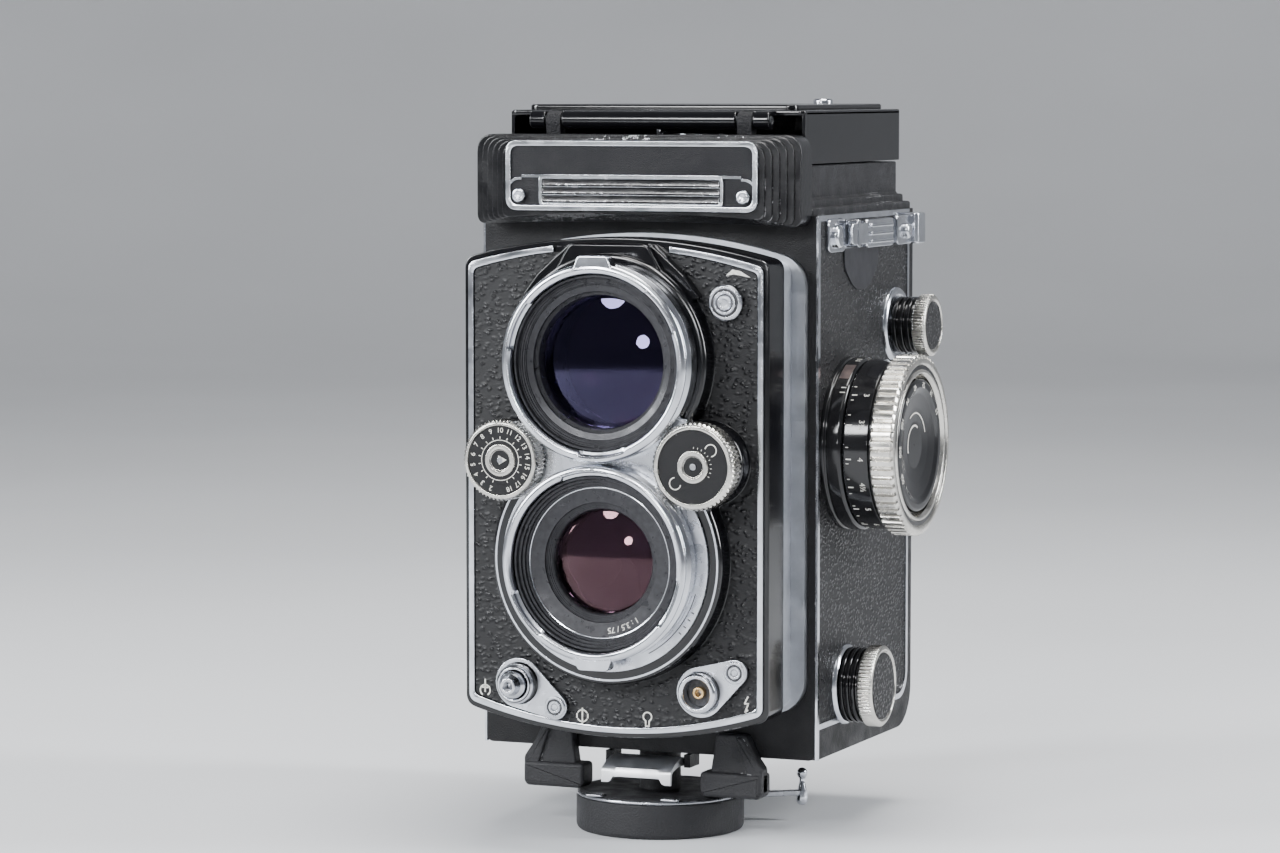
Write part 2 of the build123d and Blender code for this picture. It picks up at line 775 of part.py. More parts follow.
def film_spool():
    core = rod_x(takeup_y, takeup_z, spool_core_r, -spool_half, spool_half)
    for x in (-spool_half, spool_half - 1.0):
        core += rod_x(takeup_y, takeup_z, spool_r, x, x + 1.0)
    return core - rod_x(takeup_y, takeup_z, spool_bore_r, -40, 40)


# ---- winding crank ----
def crank_frame(part):
    return Pos(0, crank_y, crank_z) * Rot(crank_angle, 0, 0) * part


def crank_hub():
    x0 = -body_half - 1.4 - moving_gap
    pivot_x = crank_face + crank_arm_t / 2 + 0.2
    hub = rod_x(0, 0, crank_hub_r, crank_face, x0)
    hub -= block((crank_face - 1, pivot_x + crank_arm_t), (-crank_arm_w / 2 - 0.3, crank_arm_w / 2 + 0.3),
                 (-20, 20))
    hub += rod_x(0, 0, 2.94, x0, -case_half + wall + 1)
    return crank_frame(hub + rod_y(pivot_x, 0, 0.7, -6.4, 6.4))


def crank_arm():
    pivot_x = crank_face + crank_arm_t / 2 + 0.2
    half = crank_arm_t / 2
    knob_z = crank_arm_len - crank_knob_r
    arm = block((pivot_x - half, pivot_x + half), (-crank_arm_w / 2, crank_arm_w / 2), (-1.2, knob_z))
    arm += rod_x(0, knob_z, crank_knob_r, pivot_x - half, -body_half - 1.8)
    return crank_frame(arm - rod_y(pivot_x, 0, 0.7 + turn_fit, -10, 10))


# ---- back door, which folds round the rear and the bottom ----
def door_outline(front, low, rear, high, r):
    sketch = polygon((front, low), (rear, low), (rear, high), (front, high))
    corner = sketch.vertices().sort_by(lambda v: v.Y - v.X)[0]
    return fillet(corner, r)


def back_door():
    outer = door_outline(door_front, body_bottom, body_rear, door_top, door_corner_r)
    door = prism_x(outer, -case_half, case_half)
    inside = door_outline(door_front - 5, body_bottom + door_t, body_rear - door_t, door_top + 5,
                          door_corner_r - door_t)
    door -= prism_x(inside, -case_half + door_lip_t, case_half - door_lip_t)
    panel = door_outline(door_front - 5, case_low - moving_gap, case_rear + moving_gap, door_top + 5, 6.3)
    door -= prism_x(panel, -60, 60)
    knuckle = rod_x(hinge_y, hinge_z, hinge_knuckle_r, -20, 20)
    knuckle += block((-20, 20), (body_rear - door_t, body_rear - 0.1), (door_top - 1, hinge_z))
    door += knuckle
    door -= rod_x(hinge_y, hinge_z, hinge_pin_r + 0.05, -40, 40)
    for x in (-1, 1):
        ear = sorted((x * (latch_half + 0.4), x * (latch_half + 1.8)))
        door += block(ear, (latch_y - 1.2, door_front + 3), (latch_z - 1.2, body_bottom - 0.1))
        door += block(ear, (door_front, door_front + 3), (body_bottom - 0.2, body_bottom + 0.5))
    return door + rod_x(latch_y, latch_z, latch_pin_r, -latch_half - 1.0, latch_half + 1.0)


def door_leatherette():
    return block((-case_half + 1.6, case_half - 1.6), (body_rear, body_rear + 0.5),
                 (body_bottom + door_corner_r + 1, door_top - 3))


def pressure_plate():
    half = gate_size / 2 + 3.0
    plate = block((-half, half), (film_plane + 0.9, film_plane + 0.9 + pressure_t),
                  (taking_z - half, taking_z + half))
    for x in (-16, 16):
        for z in (-16, 16):
            plate += rod_y(x, taking_z + z, 2.0, film_plane + 1.5, body_rear - door_t - 0.9)
    return plate


def front_feet():
    upright = polygon((foot_x0 + 3.4, foot_top), (foot_x1 - 4.0, foot_top), (foot_x1, foot_toe_top),
                      (foot_x1, foot_bottom), (foot_x0, foot_bottom), (foot_x0, foot_toe_top),
                      (foot_x0 + 2.0, foot_toe_top))
    foot = prism_y(upright, foot_front, door_front - moving_gap)
    foot -= block((0, 60), (body_front, 10), (body_bottom - 0.1, 60))
    return both_sides(foot)


def door_latch():
    half = latch_half
    profile = polygon((latch_y + 0.9, latch_z + 0.3), (latch_y - 0.6, latch_z + 1.1),
                      (latch_front + 1.2, latch_z - 0.4), (latch_front, latch_z - 1.6),
                      (latch_front, latch_z - 2.8), (latch_front + 1.0, latch_z - 2.8),
                      (latch_front + 1.8, latch_z - 1.4), (latch_y - 0.6, latch_z - 1.0),
                      (latch_y + 0.8, latch_z - 0.9))
    tab = prism_x(profile, -half, half)
    for x in (-1, 1):
        tab += block(sorted((x * (half - 1.2), x * half)), (latch_front, latch_front + 3.0),
                     (latch_z - 4.4, latch_z - 1.6))
    return tab - rod_x(latch_y, latch_z, latch_pin_r + 0.06, -20, 20)


# ---- round tripod plate with its clamp lever ----
def clamp_point(r):
    a = math.radians(clamp_angle)
    return r * math.cos(a), r * math.sin(a)


def tripod_plate():
    plate = rod_z(0, 0, tripod_r, 0.0, tripod_top)
    plate = fillet(plate.edges().filter_by(GeomType.CIRCLE), 0.8)
    plate += rod_z(0, 0, tripod_boss_r, tripod_top, body_bottom)
    plate -= rod_z(0, 0, thread_r, -1, thread_depth)
    px, py = clamp_point(clamp_pivot_r)
    pocket = rod_z(px, py, 3.2, clamp_z - 1.3, clamp_z + 1.3)
    wedge = polygon((0, -3.2), (12, -9), (12, 9), (0, 3.2))
    pocket += Pos(px, py, 0) * Rot(0, 0, clamp_angle) * prism_z(wedge, clamp_z - 1.3, clamp_z + 1.3)
    return plate - pocket + rod_z(px, py, 0.9, clamp_z - 2, clamp_z + 2)


def clamp_lever():
    px, py = clamp_point(clamp_pivot_r)
    reach = clamp_tip_r - clamp_pivot_r
    arm = block((0, reach), (-0.9, 0.9), (clamp_z - 0.7, clamp_z + 0.7))
    arm += rod_z(0, 0, 2.8, clamp_z - 1.0, clamp_z + 1.0)
    arm += rod_z(reach, 0, 1.25, clamp_z - 2.8, clamp_z + 3.4)
    arm += Pos(reach, 0, clamp_z + 4.4) * Sphere(1.2)
    arm = Pos(px, py, 0) * Rot(0, 0, clamp_angle) * arm
    return arm - rod_z(px, py, 0.9 + turn_fit, 0, 20)


# ---- strap lugs ----
lug_y0 = -1.8
lug_y1 = 57.4
lug_z0 = 125.2
lug_z1 = 131.6
lug_proud = 3.4
tongue_y = (9.4, 31.0)
tongue_z = 116.5

# ---- viewing hood ----
def hood_base():
    low_half = body_half - hood_low_inset
    high_half = body_half - hood_high_inset
    step1 = block((-low_half, low_half), (hood_front - 0.7, hood_rear + 0.1), (body_top, hood_step_z))
    step2 = block((-high_half, high_half), (hood_front - 0.4, hood_rear + 0.1), (hood_step_z, hood_floor_z))
    wall_box = block((-hood_half, hood_half), (hood_front, hood_rear), (hood_floor_z, hood_wall_top))
    front = block((-hood_half, hood_half), (hood_front, hood_front + hood_wall),
                  (hood_floor_z, hood_front_top))
    base = step1 + step2 + wall_box + front
    base -= block((-hood_half + hood_wall, hood_half - hood_wall),
                  (hood_front + hood_wall, hood_rear - hood_wall), (hood_floor_z, 160))
    base -= block((-screen_half, screen_half), (screen_y0, screen_y1), (body_top - 1, 140))
    lug = block((20.3, 23.7), (lid_axis_y - 1.0, hood_front + hood_wall),
                (hood_front_top - 1, lid_axis_z))
    lug += rod_x(lid_axis_y, lid_axis_z, lid_barrel_r, 20.3, 23.7)
    base += both_sides(lug)
    base -= rod_x(lid_axis_y, lid_axis_z, lid_pin_r, -60, 60)
    for x in (-side_panel_x, side_panel_x):
        base -= rod_y(x, side_panel_z, panel_pin_r, hood_front + 0.6, hood_rear - 0.6)
    return base


def nameplate_housing():
    # a block with five shallow steps at each end, one rib behind the next
    rise = (name_side - name_front) / name_steps
    case = None
    for i in range(name_steps + 1):
        drop = 0.3 * i
        outline = arched(name_half - name_step_in * i, name_low + 1.0 + drop, name_high - drop,
                         -1.0, 0.01, 4.0)
        rib = prism_y(outline, name_side - rise * i, body_front)
        case = rib if case is None else case + rib
    return case


def nameplate():
    plate = prism_y(rect(-badge_half, badge_half, badge_low, badge_high, 2.6),
                    name_front - badge_t, name_front)
    for x in (-badge_half + badge_screw_in, badge_half - badge_screw_in):
        plate += rod_y(x, badge_low + badge_screw_in, badge_screw_r, name_front - badge_t - 0.6,
                       name_front)
    return plate


def hinge_pins():
    pins = rod_x(lid_axis_y, lid_axis_z, lid_pin_r, -27.5, 27.5)
    pins += rod_x(hinge_y, hinge_z, hinge_pin_r, -34.0, 34.0)
    for x in (-side_panel_x, side_panel_x):
        pins += rod_y(x, side_panel_z, panel_pin_r, hood_front + 0.6, hood_rear - 0.6)
    rear = rod_x(rear_panel_y, rear_panel_z, panel_pin_r, -hood_half + hood_wall, hood_half - hood_wall)
    return pins + rear


def hood_lid():
    skin = lid_skin
    y0 = lid_axis_y + lid_notch
    top_z = lid_axis_z + lid_barrel_r
    lid = block((-lid_half, lid_half), (y0, lid_rear), (top_z - lid_t, top_z))
    lid += block((-lid_half + 3, lid_half - 3), (y0 + 2.5, lid_rear - 3), (top_z - 0.2, top_z + lid_raise))
    for x in (-1, 1):
        lid += block(sorted((x * (lid_half - skin), x * lid_half)), (y0 + 0.4, lid_rear),
                     (lid_skirt_bottom, top_z))
    lid += block((-lid_half, lid_half), (lid_rear - skin, lid_rear), (lid_skirt_bottom, top_z))
    for x0, x1 in ((-27.5, -24.0), (-20.0, 20.0), (24.0, 27.5)):
        lid += rod_x(lid_axis_y, lid_axis_z, lid_barrel_r, x0, x1)
        lid += block((x0, x1), (lid_axis_y, y0 + 0.2), (top_z - lid_t, top_z))
    lid -= rod_x(lid_axis_y, lid_axis_z, lid_pin_r + 0.05, -60, 60)
    return lid - rod_z(lid_button_x, lid_button_y, lid_button_r + turn_fit, 100, 200)


def magnifier():
    # a round glass in a flat rim, held under the lid by two side arms
    low = magnifier_z
    frame = rod_z(0, magnifier_y, magnifier_r + 2.0, low, low + 2.0)
    frame -= rod_z(0, magnifier_y, magnifier_r, low - 1, low + 3)
    frame += rod_z(0, magnifier_y, magnifier_r, low + 0.5, low + 1.6)
    for x in (-1, 1):
        arm = sorted((x * (magnifier_r + 1.4), x * (magnifier_r + 2.6)))
        frame += block(arm, (magnifier_y - 4.0, magnifier_y + 22.0),
                       (low + 0.6, lid_axis_z + lid_barrel_r - lid_t))
    return frame


def lid_button():
    top_z = lid_axis_z + lid_barrel_r + lid_raise
    button = rod_z(lid_button_x, lid_button_y, lid_button_r, top_z - 3.4, top_z + 1.2)
    return button + rod_z(lid_button_x, lid_button_y, lid_button_r + 0.8, top_z - 4.4, top_z - 3.4)


def side_panel():
    # the right-hand leaf, folded flat; its mitred rear end clears the rear leaf
    x1 = side_panel_x
    x0 = side_panel_x - side_panel_len
    rear = rear_panel_y - 1.4
    leaf = polygon((x1, -3.4), (x1 - 10, -3.4), (x0, 4.0), (x0, rear - side_panel_mitre * side_panel_len),
                   (x1, rear))
    panel = prism_z(leaf, side_panel_z - panel_t / 2, side_panel_z + panel_t / 2)
    panel += rod_y(x1, side_panel_z, panel_barrel_r, -3.4, rear)
    return panel - rod_y(x1, side_panel_z, panel_pin_r + 0.06, -20, 80)


def rear_panel():
    half = side_panel_x - 1.0
    panel = block((-half, half), (rear_panel_y - rear_panel_len, rear_panel_y),
                  (rear_panel_z - panel_t / 2, rear_panel_z + panel_t / 2))
    panel += rod_x(rear_panel_y, rear_panel_z, panel_barrel_r, -half, half)
    return panel - rod_x(rear_panel_y, rear_panel_z, panel_pin_r + 0.06, -80, 80)


# ---- assembly ----
save("body_shell", body_shell())
save("front_flange", front_flange())
save("film_gate", film_gate())
save("mirror", mirror_glass())
save("ground_glass", ground_glass())
save("side_trims", side_trims())
save("side_leatherette", side_leatherette())
save("strap_lugs", strap_lugs())
save("side_flanges", knob_flanges())
save("focus_collar", focus_collar())
save("front_feet", front_feet())
save("hood_base", hood_base())
save("nameplate_housing", nameplate_housing())
save("nameplate", nameplate())
save("hinge_pins", hinge_pins())
save("front_plate", front_plate())
save("front_trim", front_trim())
save("front_leatherette", front_leatherette())
save("lens_housing", lens_housing())
save("scale_visor", scale_visor())
save("exposure_scale_ring", scale_ring())
save("filter_bayonets", bayonet(taking_z, housing_front - scale_ring_t, -1)
     + bayonet(viewing_z, housing_front - scale_ring_t, 1))
save("taking_barrel", lens_barrel(taking_z, taking_glass_r, -13.0))
save("viewing_barrel", lens_barrel(viewing_z, viewing_glass_r, -13.0))
save("taking_glass", lens_glass(taking_z, taking_glass_r))
save("viewing_glass", lens_glass(viewing_z, viewing_glass_r))
save("shutter_leaves", shutter_leaves())
save("release_collar", release_collar())
save("flash_socket", flash_socket())
save("aperture_wheel", exposure_wheel(-wheel_x, aperture_wheel_r))
save("shutter_wheel", exposure_wheel(wheel_x, shutter_wheel_r))
save("release_button", release_button())
save("release_lock", lever(release_x, release_z, lock_pad))
save("socket_lock", lever(socket_x, socket_z, socket_pad))
save("sync_lever", sync_lever())
save("focus_knob", focus_knob())
save("distance_drum", distance_drum())
save("focus_shaft", focus_shaft())
save("reminder_dial", reminder_dial())
save("supply_spindle", spool_spindle(supply_y, supply_z, supply_knob_r, supply_knob_face, supply_knob_w))
save("supply_knob", spool_knob(supply_y, supply_z, supply_knob_r, supply_knob_face, supply_knob_w))
save("takeup_spindle", spool_spindle(takeup_y, takeup_z, takeup_knob_r, takeup_knob_face, takeup_knob_w))
save("takeup_knob", spool_knob(takeup_y, takeup_z, takeup_knob_r, takeup_knob_face, takeup_knob_w))
save("takeup_spool", film_spool())
save("lower_roller", film_roller(roller_low_z))
save("upper_roller", film_roller(roller_high_z))
save("crank_hub", crank_hub())
save("crank_arm", crank_arm())
save("back_door", back_door())
save("door_leatherette", door_leatherette())
save("pressure_plate", pressure_plate())
save("door_latch", door_latch())
save("tripod_plate", tripod_plate())
save("clamp_lever", clamp_lever())
save("hood_lid", hood_lid())
save("magnifier", magnifier())
save("lid_button", lid_button())
save("side_panel_right", side_panel())
save("side_panel_left", mirror(side_panel(), about=Plane.YZ))
save("rear_panel", rear_panel())
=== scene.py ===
import math

import bmesh
import bpy
from mathutils import Matrix, Vector


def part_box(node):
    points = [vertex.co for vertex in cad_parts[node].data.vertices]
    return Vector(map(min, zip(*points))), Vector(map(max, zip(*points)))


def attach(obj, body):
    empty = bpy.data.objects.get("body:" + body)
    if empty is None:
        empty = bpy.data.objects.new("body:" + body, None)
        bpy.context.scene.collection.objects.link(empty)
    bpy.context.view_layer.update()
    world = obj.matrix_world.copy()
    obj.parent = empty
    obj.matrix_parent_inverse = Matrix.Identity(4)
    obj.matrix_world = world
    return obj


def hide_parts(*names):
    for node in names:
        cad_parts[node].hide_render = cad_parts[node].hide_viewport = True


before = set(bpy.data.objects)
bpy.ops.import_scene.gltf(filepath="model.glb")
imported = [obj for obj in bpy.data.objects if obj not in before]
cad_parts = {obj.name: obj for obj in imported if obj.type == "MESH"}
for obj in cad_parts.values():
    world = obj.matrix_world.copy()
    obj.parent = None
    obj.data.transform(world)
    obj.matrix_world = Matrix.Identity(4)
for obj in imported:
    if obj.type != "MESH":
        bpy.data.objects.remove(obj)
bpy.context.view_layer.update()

# ---------------------------------------------------------------------------
# The studio: a pale round dish as floor and backdrop, soft boxes all round with
# two small lamps for the glasses, a broad wash from above and a long portrait
# lens that looks a little down on the camera from its front right.
# ---------------------------------------------------------------------------
lens = bpy.data.cameras.new("portrait_lens")
lens.lens = 122.2
lens.sensor_width = 36.0
lens.clip_start = 0.05
viewpoint = bpy.data.objects.new("viewpoint", lens)
viewpoint.location = (0.3519, -0.8662, 0.1609)
viewpoint.rotation_euler = (math.radians(85.49), 0.0, math.radians(22.38))
bpy.context.scene.collection.objects.link(viewpoint)
bpy.context.scene.camera = viewpoint


def soft_box(name, place, aim, size, watts, colour):
    light = bpy.data.lights.new(name, "AREA")
    light.shape = "ELLIPSE"
    light.size, light.size_y = size
    light.energy = watts
    light.color = colour
    box = bpy.data.objects.new(name, light)
    box.location = place
    box.rotation_euler = (Vector(aim) - Vector(place)).to_track_quat("-Z", "Y").to_euler()
    bpy.context.scene.collection.objects.link(box)


middle = (0.0, 0.0, 0.08)
soft_box("left_soft_box", (-0.60, -0.55, 0.42), middle, (0.22, 0.55), 9.0, (0.95, 0.98, 1.0))
soft_box("right_soft_box", (0.62, 0.16, 0.36), middle, (0.16, 0.5), 6.5, (0.96, 0.98, 1.0))
soft_box("top_soft_box", (0.05, 0.10, 0.90), middle, (0.5, 0.35), 9.0, (1.0, 0.99, 0.97))
soft_box("front_card", (0.02, -1.0, 0.62), middle, (0.22, 0.12), 5.0, (0.97, 0.98, 1.0))
soft_box("round_lamp", (-0.285, -0.784, 0.42), middle, (0.17, 0.17), 3.0, (0.97, 0.98, 1.0))
soft_box("small_round_lamp", (-0.10, -0.92, 0.17), middle, (0.08, 0.08), 0.8, (0.97, 0.98, 1.0))
overhead = bpy.data.lights.new("overhead_wash", "SUN")
overhead.energy = 1.1
overhead.angle = math.radians(60)
wash = bpy.data.objects.new("overhead_wash", overhead)
wash.location = (0.0, 0.0, 2.0)
wash.rotation_euler = (math.radians(42.0), 0.0, math.radians(22.38))
bpy.context.scene.collection.objects.link(wash)
studio = bpy.data.worlds.new("studio")
studio.use_nodes = True
studio.node_tree.nodes["Background"].inputs["Color"].default_value = (0.80, 0.83, 0.88, 1.0)
studio.node_tree.nodes["Background"].inputs["Strength"].default_value = 0.2
bpy.context.scene.world = studio


def add_node(tree, kind, sockets=None, **settings):
    made = tree.nodes.new("ShaderNode" + kind)
    for key, value in settings.items():
        setattr(made, key, value)
    for key, value in (sockets or {}).items():
        if isinstance(value, bpy.types.NodeSocket):
            tree.links.new(value, made.inputs[key])
        else:
            made.inputs[key].default_value = value
    return made


def new_finish(name, colour, metallic=0.0, roughness=0.4):
    finish = bpy.data.materials.new(name)
    finish.use_nodes = True
    shader = finish.node_tree.nodes["Principled BSDF"]
    shader.inputs["Base Color"].default_value = (*colour, 1.0)
    shader.inputs["Metallic"].default_value = metallic
    shader.inputs["Roughness"].default_value = roughness
    return finish, finish.node_tree, shader


def mottle(tree, scale, low, high, detail=3.0, stretch=(1.0, 1.0, 1.0)):
    """Soft cloudy variation between two values, in the piece's own space."""
    space = add_node(tree, "TexCoord").outputs["Object"]
    space = add_node(tree, "Mapping", {"Vector": space, "Scale": stretch}).outputs[0]
    cloud = add_node(tree, "TexNoise", {"Vector": space, "Scale": scale, "Detail": detail})
    spread = add_node(tree, "MapRange", {"Value": cloud.outputs["Fac"], "From Min": 0.3,
                                         "From Max": 0.7, "To Min": low, "To Max": high})
    return spread.outputs["Result"]


def tint_between(tree, factor, first, second):
    mixed = add_node(tree, "Mix", {"Factor": factor}, data_type="RGBA")
    mixed.inputs["A"].default_value = (*first, 1.0)
    mixed.inputs["B"].default_value = (*second, 1.0)
    return mixed.outputs["Result"]


table_paint, tree, shader = new_finish("table_paint", (0.62, 0.63, 0.65), roughness=0.6)
tone = tint_between(tree, mottle(tree, 3.0, 0.0, 1.0), (0.60, 0.61, 0.63), (0.66, 0.67, 0.69))
tree.links.new(tone, shader.inputs["Base Color"])
table = bpy.data.meshes.new("table_top")
flat_radius, sweep_radius, wall_top, around = 1.5, 1.2, 3.0, 96
sweep = [(flat_radius, 0.0)]
for k in range(1, 17):
    a = math.pi / 2 * k / 16
    sweep.append((flat_radius + sweep_radius * math.sin(a), sweep_radius * (1 - math.cos(a))))
sweep.append((flat_radius + sweep_radius, wall_top))
points = [(r * math.cos(2 * math.pi * k / around), r * math.sin(2 * math.pi * k / around), z)
          for r, z in sweep for k in range(around)]
faces = [tuple(range(around))]
for row in range(len(sweep) - 1):
    for k in range(around):
        here, there = row * around, (row + 1) * around
        faces.append((here + k, there + k, there + (k + 1) % around, here + (k + 1) % around))
table.from_pydata(points, [], faces)
table.polygons.foreach_set("use_smooth", [True] * len(table.polygons))
table_top = bpy.data.objects.new("table_top", table)
table.materials.append(table_paint)
bpy.context.scene.collection.objects.link(table_top)

# ---------------------------------------------------------------------------
# Body casting: one die-cast light alloy box with its chambers, stove enamelled
# with a fine wrinkle. Its edges are rubbed bright where hands hold them.
# ---------------------------------------------------------------------------


def edge_rub(tree, radius, amount):
    """Where paint wears first: nearness to a sharp edge, broken up by a fine grain."""
    round_normal = add_node(tree, "Bevel", {"Radius": radius}, samples=4).outputs[0]
    true_normal = add_node(tree, "NewGeometry").outputs["Normal"]
    facing = add_node(tree, "VectorMath", {0: round_normal, 1: true_normal},
                      operation="DOT_PRODUCT").outputs["Value"]
    near = add_node(tree, "MapRange", {"Value": facing, "From Min": 0.995, "From Max": 0.80,
                                       "To Min": 0.0, "To Max": 1.0}).outputs["Result"]
    grain = mottle(tree, 900.0, -0.7, 1.0, detail=6.0)
    patches = mottle(tree, 70.0, -0.8, 0.9)
    total = add_node(tree, "Math", {0: near, 1: grain}, operation="MULTIPLY").outputs[0]
    total = add_node(tree, "Math", {0: total, 1: patches}, operation="ADD").outputs[0]
    worn = add_node(tree, "MapRange", {"Value": total, "From Min": 1.05 - amount,
                                       "From Max": 1.12 - amount, "To Min": 0.0, "To Max": 1.0})
    return add_node(tree, "Math", {0: worn.outputs["Result"], 1: near}, operation="MULTIPLY").outputs[0]


def relief(tree, shader, height, distance, strength=1.0, edge=0.0):
    """Feeds a height pattern to the finish; edge rounds the corners' highlights."""
    sockets = {"Height": height, "Distance": distance, "Strength": strength}
    if edge > 0:
        sockets["Normal"] = add_node(tree, "Bevel", {"Radius": edge}, samples=4).outputs[0]
    bump = add_node(tree, "Bump", sockets)
    tree.links.new(bump.outputs["Normal"], shader.inputs["Normal"])


def enamel(name, grain_size, grain_depth, gloss, wear, tone=(0.005, 0.005, 0.006)):
    """Black enamel over bright metal, from a mirror gloss to a coarse wrinkle."""
    finish, tree, shader = new_finish(name, tone, roughness=gloss)
    shader.inputs["Specular IOR Level"].default_value = 0.5 if gloss < 0.3 else 0.22
    worn = edge_rub(tree, 0.0004, wear)
    tree.links.new(tint_between(tree, worn, tone, (0.42, 0.42, 0.43)), shader.inputs["Base Color"])
    tree.links.new(worn, shader.inputs["Metallic"])
    tree.links.new(mottle(tree, 220.0, gloss * 0.75, gloss * 1.35), shader.inputs["Roughness"])
    relief(tree, shader, mottle(tree, 1.0 / grain_size, 0.0, 1.0, detail=4.0), grain_depth, edge=0.0001)
    return finish


crinkle = enamel("crinkle_enamel", 0.00034, 0.00008, 0.40, 0.12, (0.006, 0.006, 0.007))
gloss = enamel("gloss_enamel", 0.004, 0.000004, 0.13, 0.16, (0.003, 0.003, 0.004))


def paint_node(name, finish):
    """Gives a part that keeps its machined shape its finish."""
    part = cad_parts[name]
    part.data.materials.clear()
    part.data.materials.append(finish)


paint_node("body_shell", crinkle)

# ---------------------------------------------------------------------------
# Satin flange: the rolled light alloy band on the casting's face that the lens
# board slides over. It is left bare and only brushed along its length.
# ---------------------------------------------------------------------------


def bare_metal(name, colour, low, high, brush=(1.0, 1.0, 1.0), depth=0.0000012, edge=0.00005):
    finish, tree, shader = new_finish(name, colour, metallic=1.0, roughness=low)
    dull = tuple(c * 0.72 for c in colour)
    tree.links.new(tint_between(tree, mottle(tree, 160.0, 0.0, 1.0, detail=5.0), colour, dull),
                   shader.inputs["Base Color"])
    tree.links.new(mottle(tree, 320.0, low, high, detail=5.0), shader.inputs["Roughness"])
    relief(tree, shader, mottle(tree, 2600.0, 0.0, 1.0, stretch=brush), depth, edge=edge)
    return finish


satin = bare_metal("satin_alloy", (0.60, 0.62, 0.66), 0.28, 0.44, brush=(1.0, 1.0, 0.06))
chrome = bare_metal("satin_chrome", (0.72, 0.74, 0.79), 0.10, 0.26)
steel = bare_metal("brushed_steel", (0.46, 0.47, 0.50), 0.22, 0.38, brush=(0.08, 1.0, 1.0))
paint_node("front_flange", satin)
paint_node("film_gate", satin)
paint_node("pressure_plate", satin)

# ---------------------------------------------------------------------------
# Side leather: pebbled black hide cut to the sides, glued in shallow recesses
# and framed by thin chrome strips. The door carries a third piece at the back.
# ---------------------------------------------------------------------------


def pebbled_hide(name, pebble, depth, stretch):
    finish, tree, shader = new_finish(name, (0.005, 0.005, 0.006), roughness=0.34)
    shader.inputs["Specular IOR Level"].default_value = 0.38
    space = add_node(tree, "TexCoord").outputs["Object"]
    swirl = add_node(tree, "TexNoise", {"Vector": space, "Scale": 0.4 / pebble, "Detail": 2.0})
    shift = add_node(tree, "VectorMath", {0: swirl.outputs["Color"], 1: (pebble,) * 3},
                     operation="MULTIPLY").outputs[0]
    bent = add_node(tree, "VectorMath", {0: space, 1: shift}, operation="ADD").outputs[0]
    bent = add_node(tree, "Mapping", {"Vector": bent, "Scale": stretch}).outputs[0]
    cells = add_node(tree, "TexVoronoi", {"Vector": bent, "Scale": 1.0 / pebble, "Smoothness": 0.35},
                     feature="SMOOTH_F1").outputs["Distance"]
    dome = add_node(tree, "MapRange", {"Value": cells, "From Min": 0.08, "From Max": 0.62,
                                       "To Min": 1.0, "To Max": 0.0}, interpolation_type="SMOOTHSTEP")
    fine = mottle(tree, 5.0 / pebble, 0.0, 0.12, detail=4.0)
    height = add_node(tree, "Math", {0: dome.outputs["Result"], 1: fine}, operation="ADD").outputs[0]
    dust = mottle(tree, 900.0, -9.0, 0.7, detail=2.0)
    dusty = add_node(tree, "Math", {0: dust, 1: 0.0}, operation="MAXIMUM").outputs[0]
    low = add_node(tree, "Math", {0: dusty, 1: 0.25}, operation="MULTIPLY").outputs[0]
    tree.links.new(tint_between(tree, low, (0.004, 0.004, 0.005), (0.035, 0.035, 0.038)),
                   shader.inputs["Base Color"])
    rough = add_node(tree, "MapRange", {"Value": height, "From Min": 0.0, "From Max": 1.0,
                                        "To Min": 0.60, "To Max": 0.20}).outputs["Result"]
    tree.links.new(rough, shader.inputs["Roughness"])
    relief(tree, shader, height, depth, 1.0)
    return finish


side_hide = pebbled_hide("side_leatherette", 0.00095, 0.00018, (1.0, 0.8, 1.25))
front_hide = pebbled_hide("front_leatherette", 0.00115, 0.00026, (0.85, 1.0, 1.2))
paint_node("side_leatherette", side_hide)
paint_node("door_leatherette", side_hide)
paint_node("side_trims", chrome)
paint_node("hinge_pins", steel)

# ---------------------------------------------------------------------------
# Ground glass and mirror: a matt screen on top of the body and a front silvered
# mirror on the sloping wall under it, which turns the finder picture upward.
# ---------------------------------------------------------------------------
ground, tree, shader = new_finish("ground_glass", (0.80, 0.84, 0.83), roughness=0.5)
shader.inputs["Transmission Weight"].default_value = 0.85
tree.links.new(mottle(tree, 900.0, 0.40, 0.62), shader.inputs["Roughness"])
relief(tree, shader, mottle(tree, 9000.0, 0.0, 1.0), 0.00001)
paint_node("ground_glass", ground)
silvered = bare_metal("silvered_glass", (0.88, 0.89, 0.92), 0.02, 0.05, depth=0.0000005)
paint_node("mirror", silvered)

# ---------------------------------------------------------------------------
# Focusing collar: a black lacquered ring screwed to the body round the shaft,
# with the index plate for the distance scale let into its edge.
# ---------------------------------------------------------------------------
mm = 0.001


def centre_of(node):
    low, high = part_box(node)
    return (low + high) / 2 / mm


def soften(points, radius, closed=True, steps=4):
    """Rounds the corners of an outline; radius is one size or one for each point."""
    count = len(points)
    radii = radius if isinstance(radius, (list, tuple)) else [radius] * count
    rounded = []
    for i, (here, size) in enumerate(zip(points, radii)):
        if size <= 0 or (not closed and i in (0, count - 1)):
            rounded.append(tuple(here))
            continue
        here = Vector(here)
        before = Vector(points[i - 1]) - here
        after = Vector(points[(i + 1) % count]) - here
        cut = min(size, before.length * 0.49, after.length * 0.49)
        first = here + before.normalized() * cut
        last = here + after.normalized() * cut
        for k in range(steps + 1):
            t = k / steps
            spot = first * (1 - t) ** 2 + here * (2 * t * (1 - t)) + last * t ** 2
            rounded.append(tuple(spot))
    return rounded


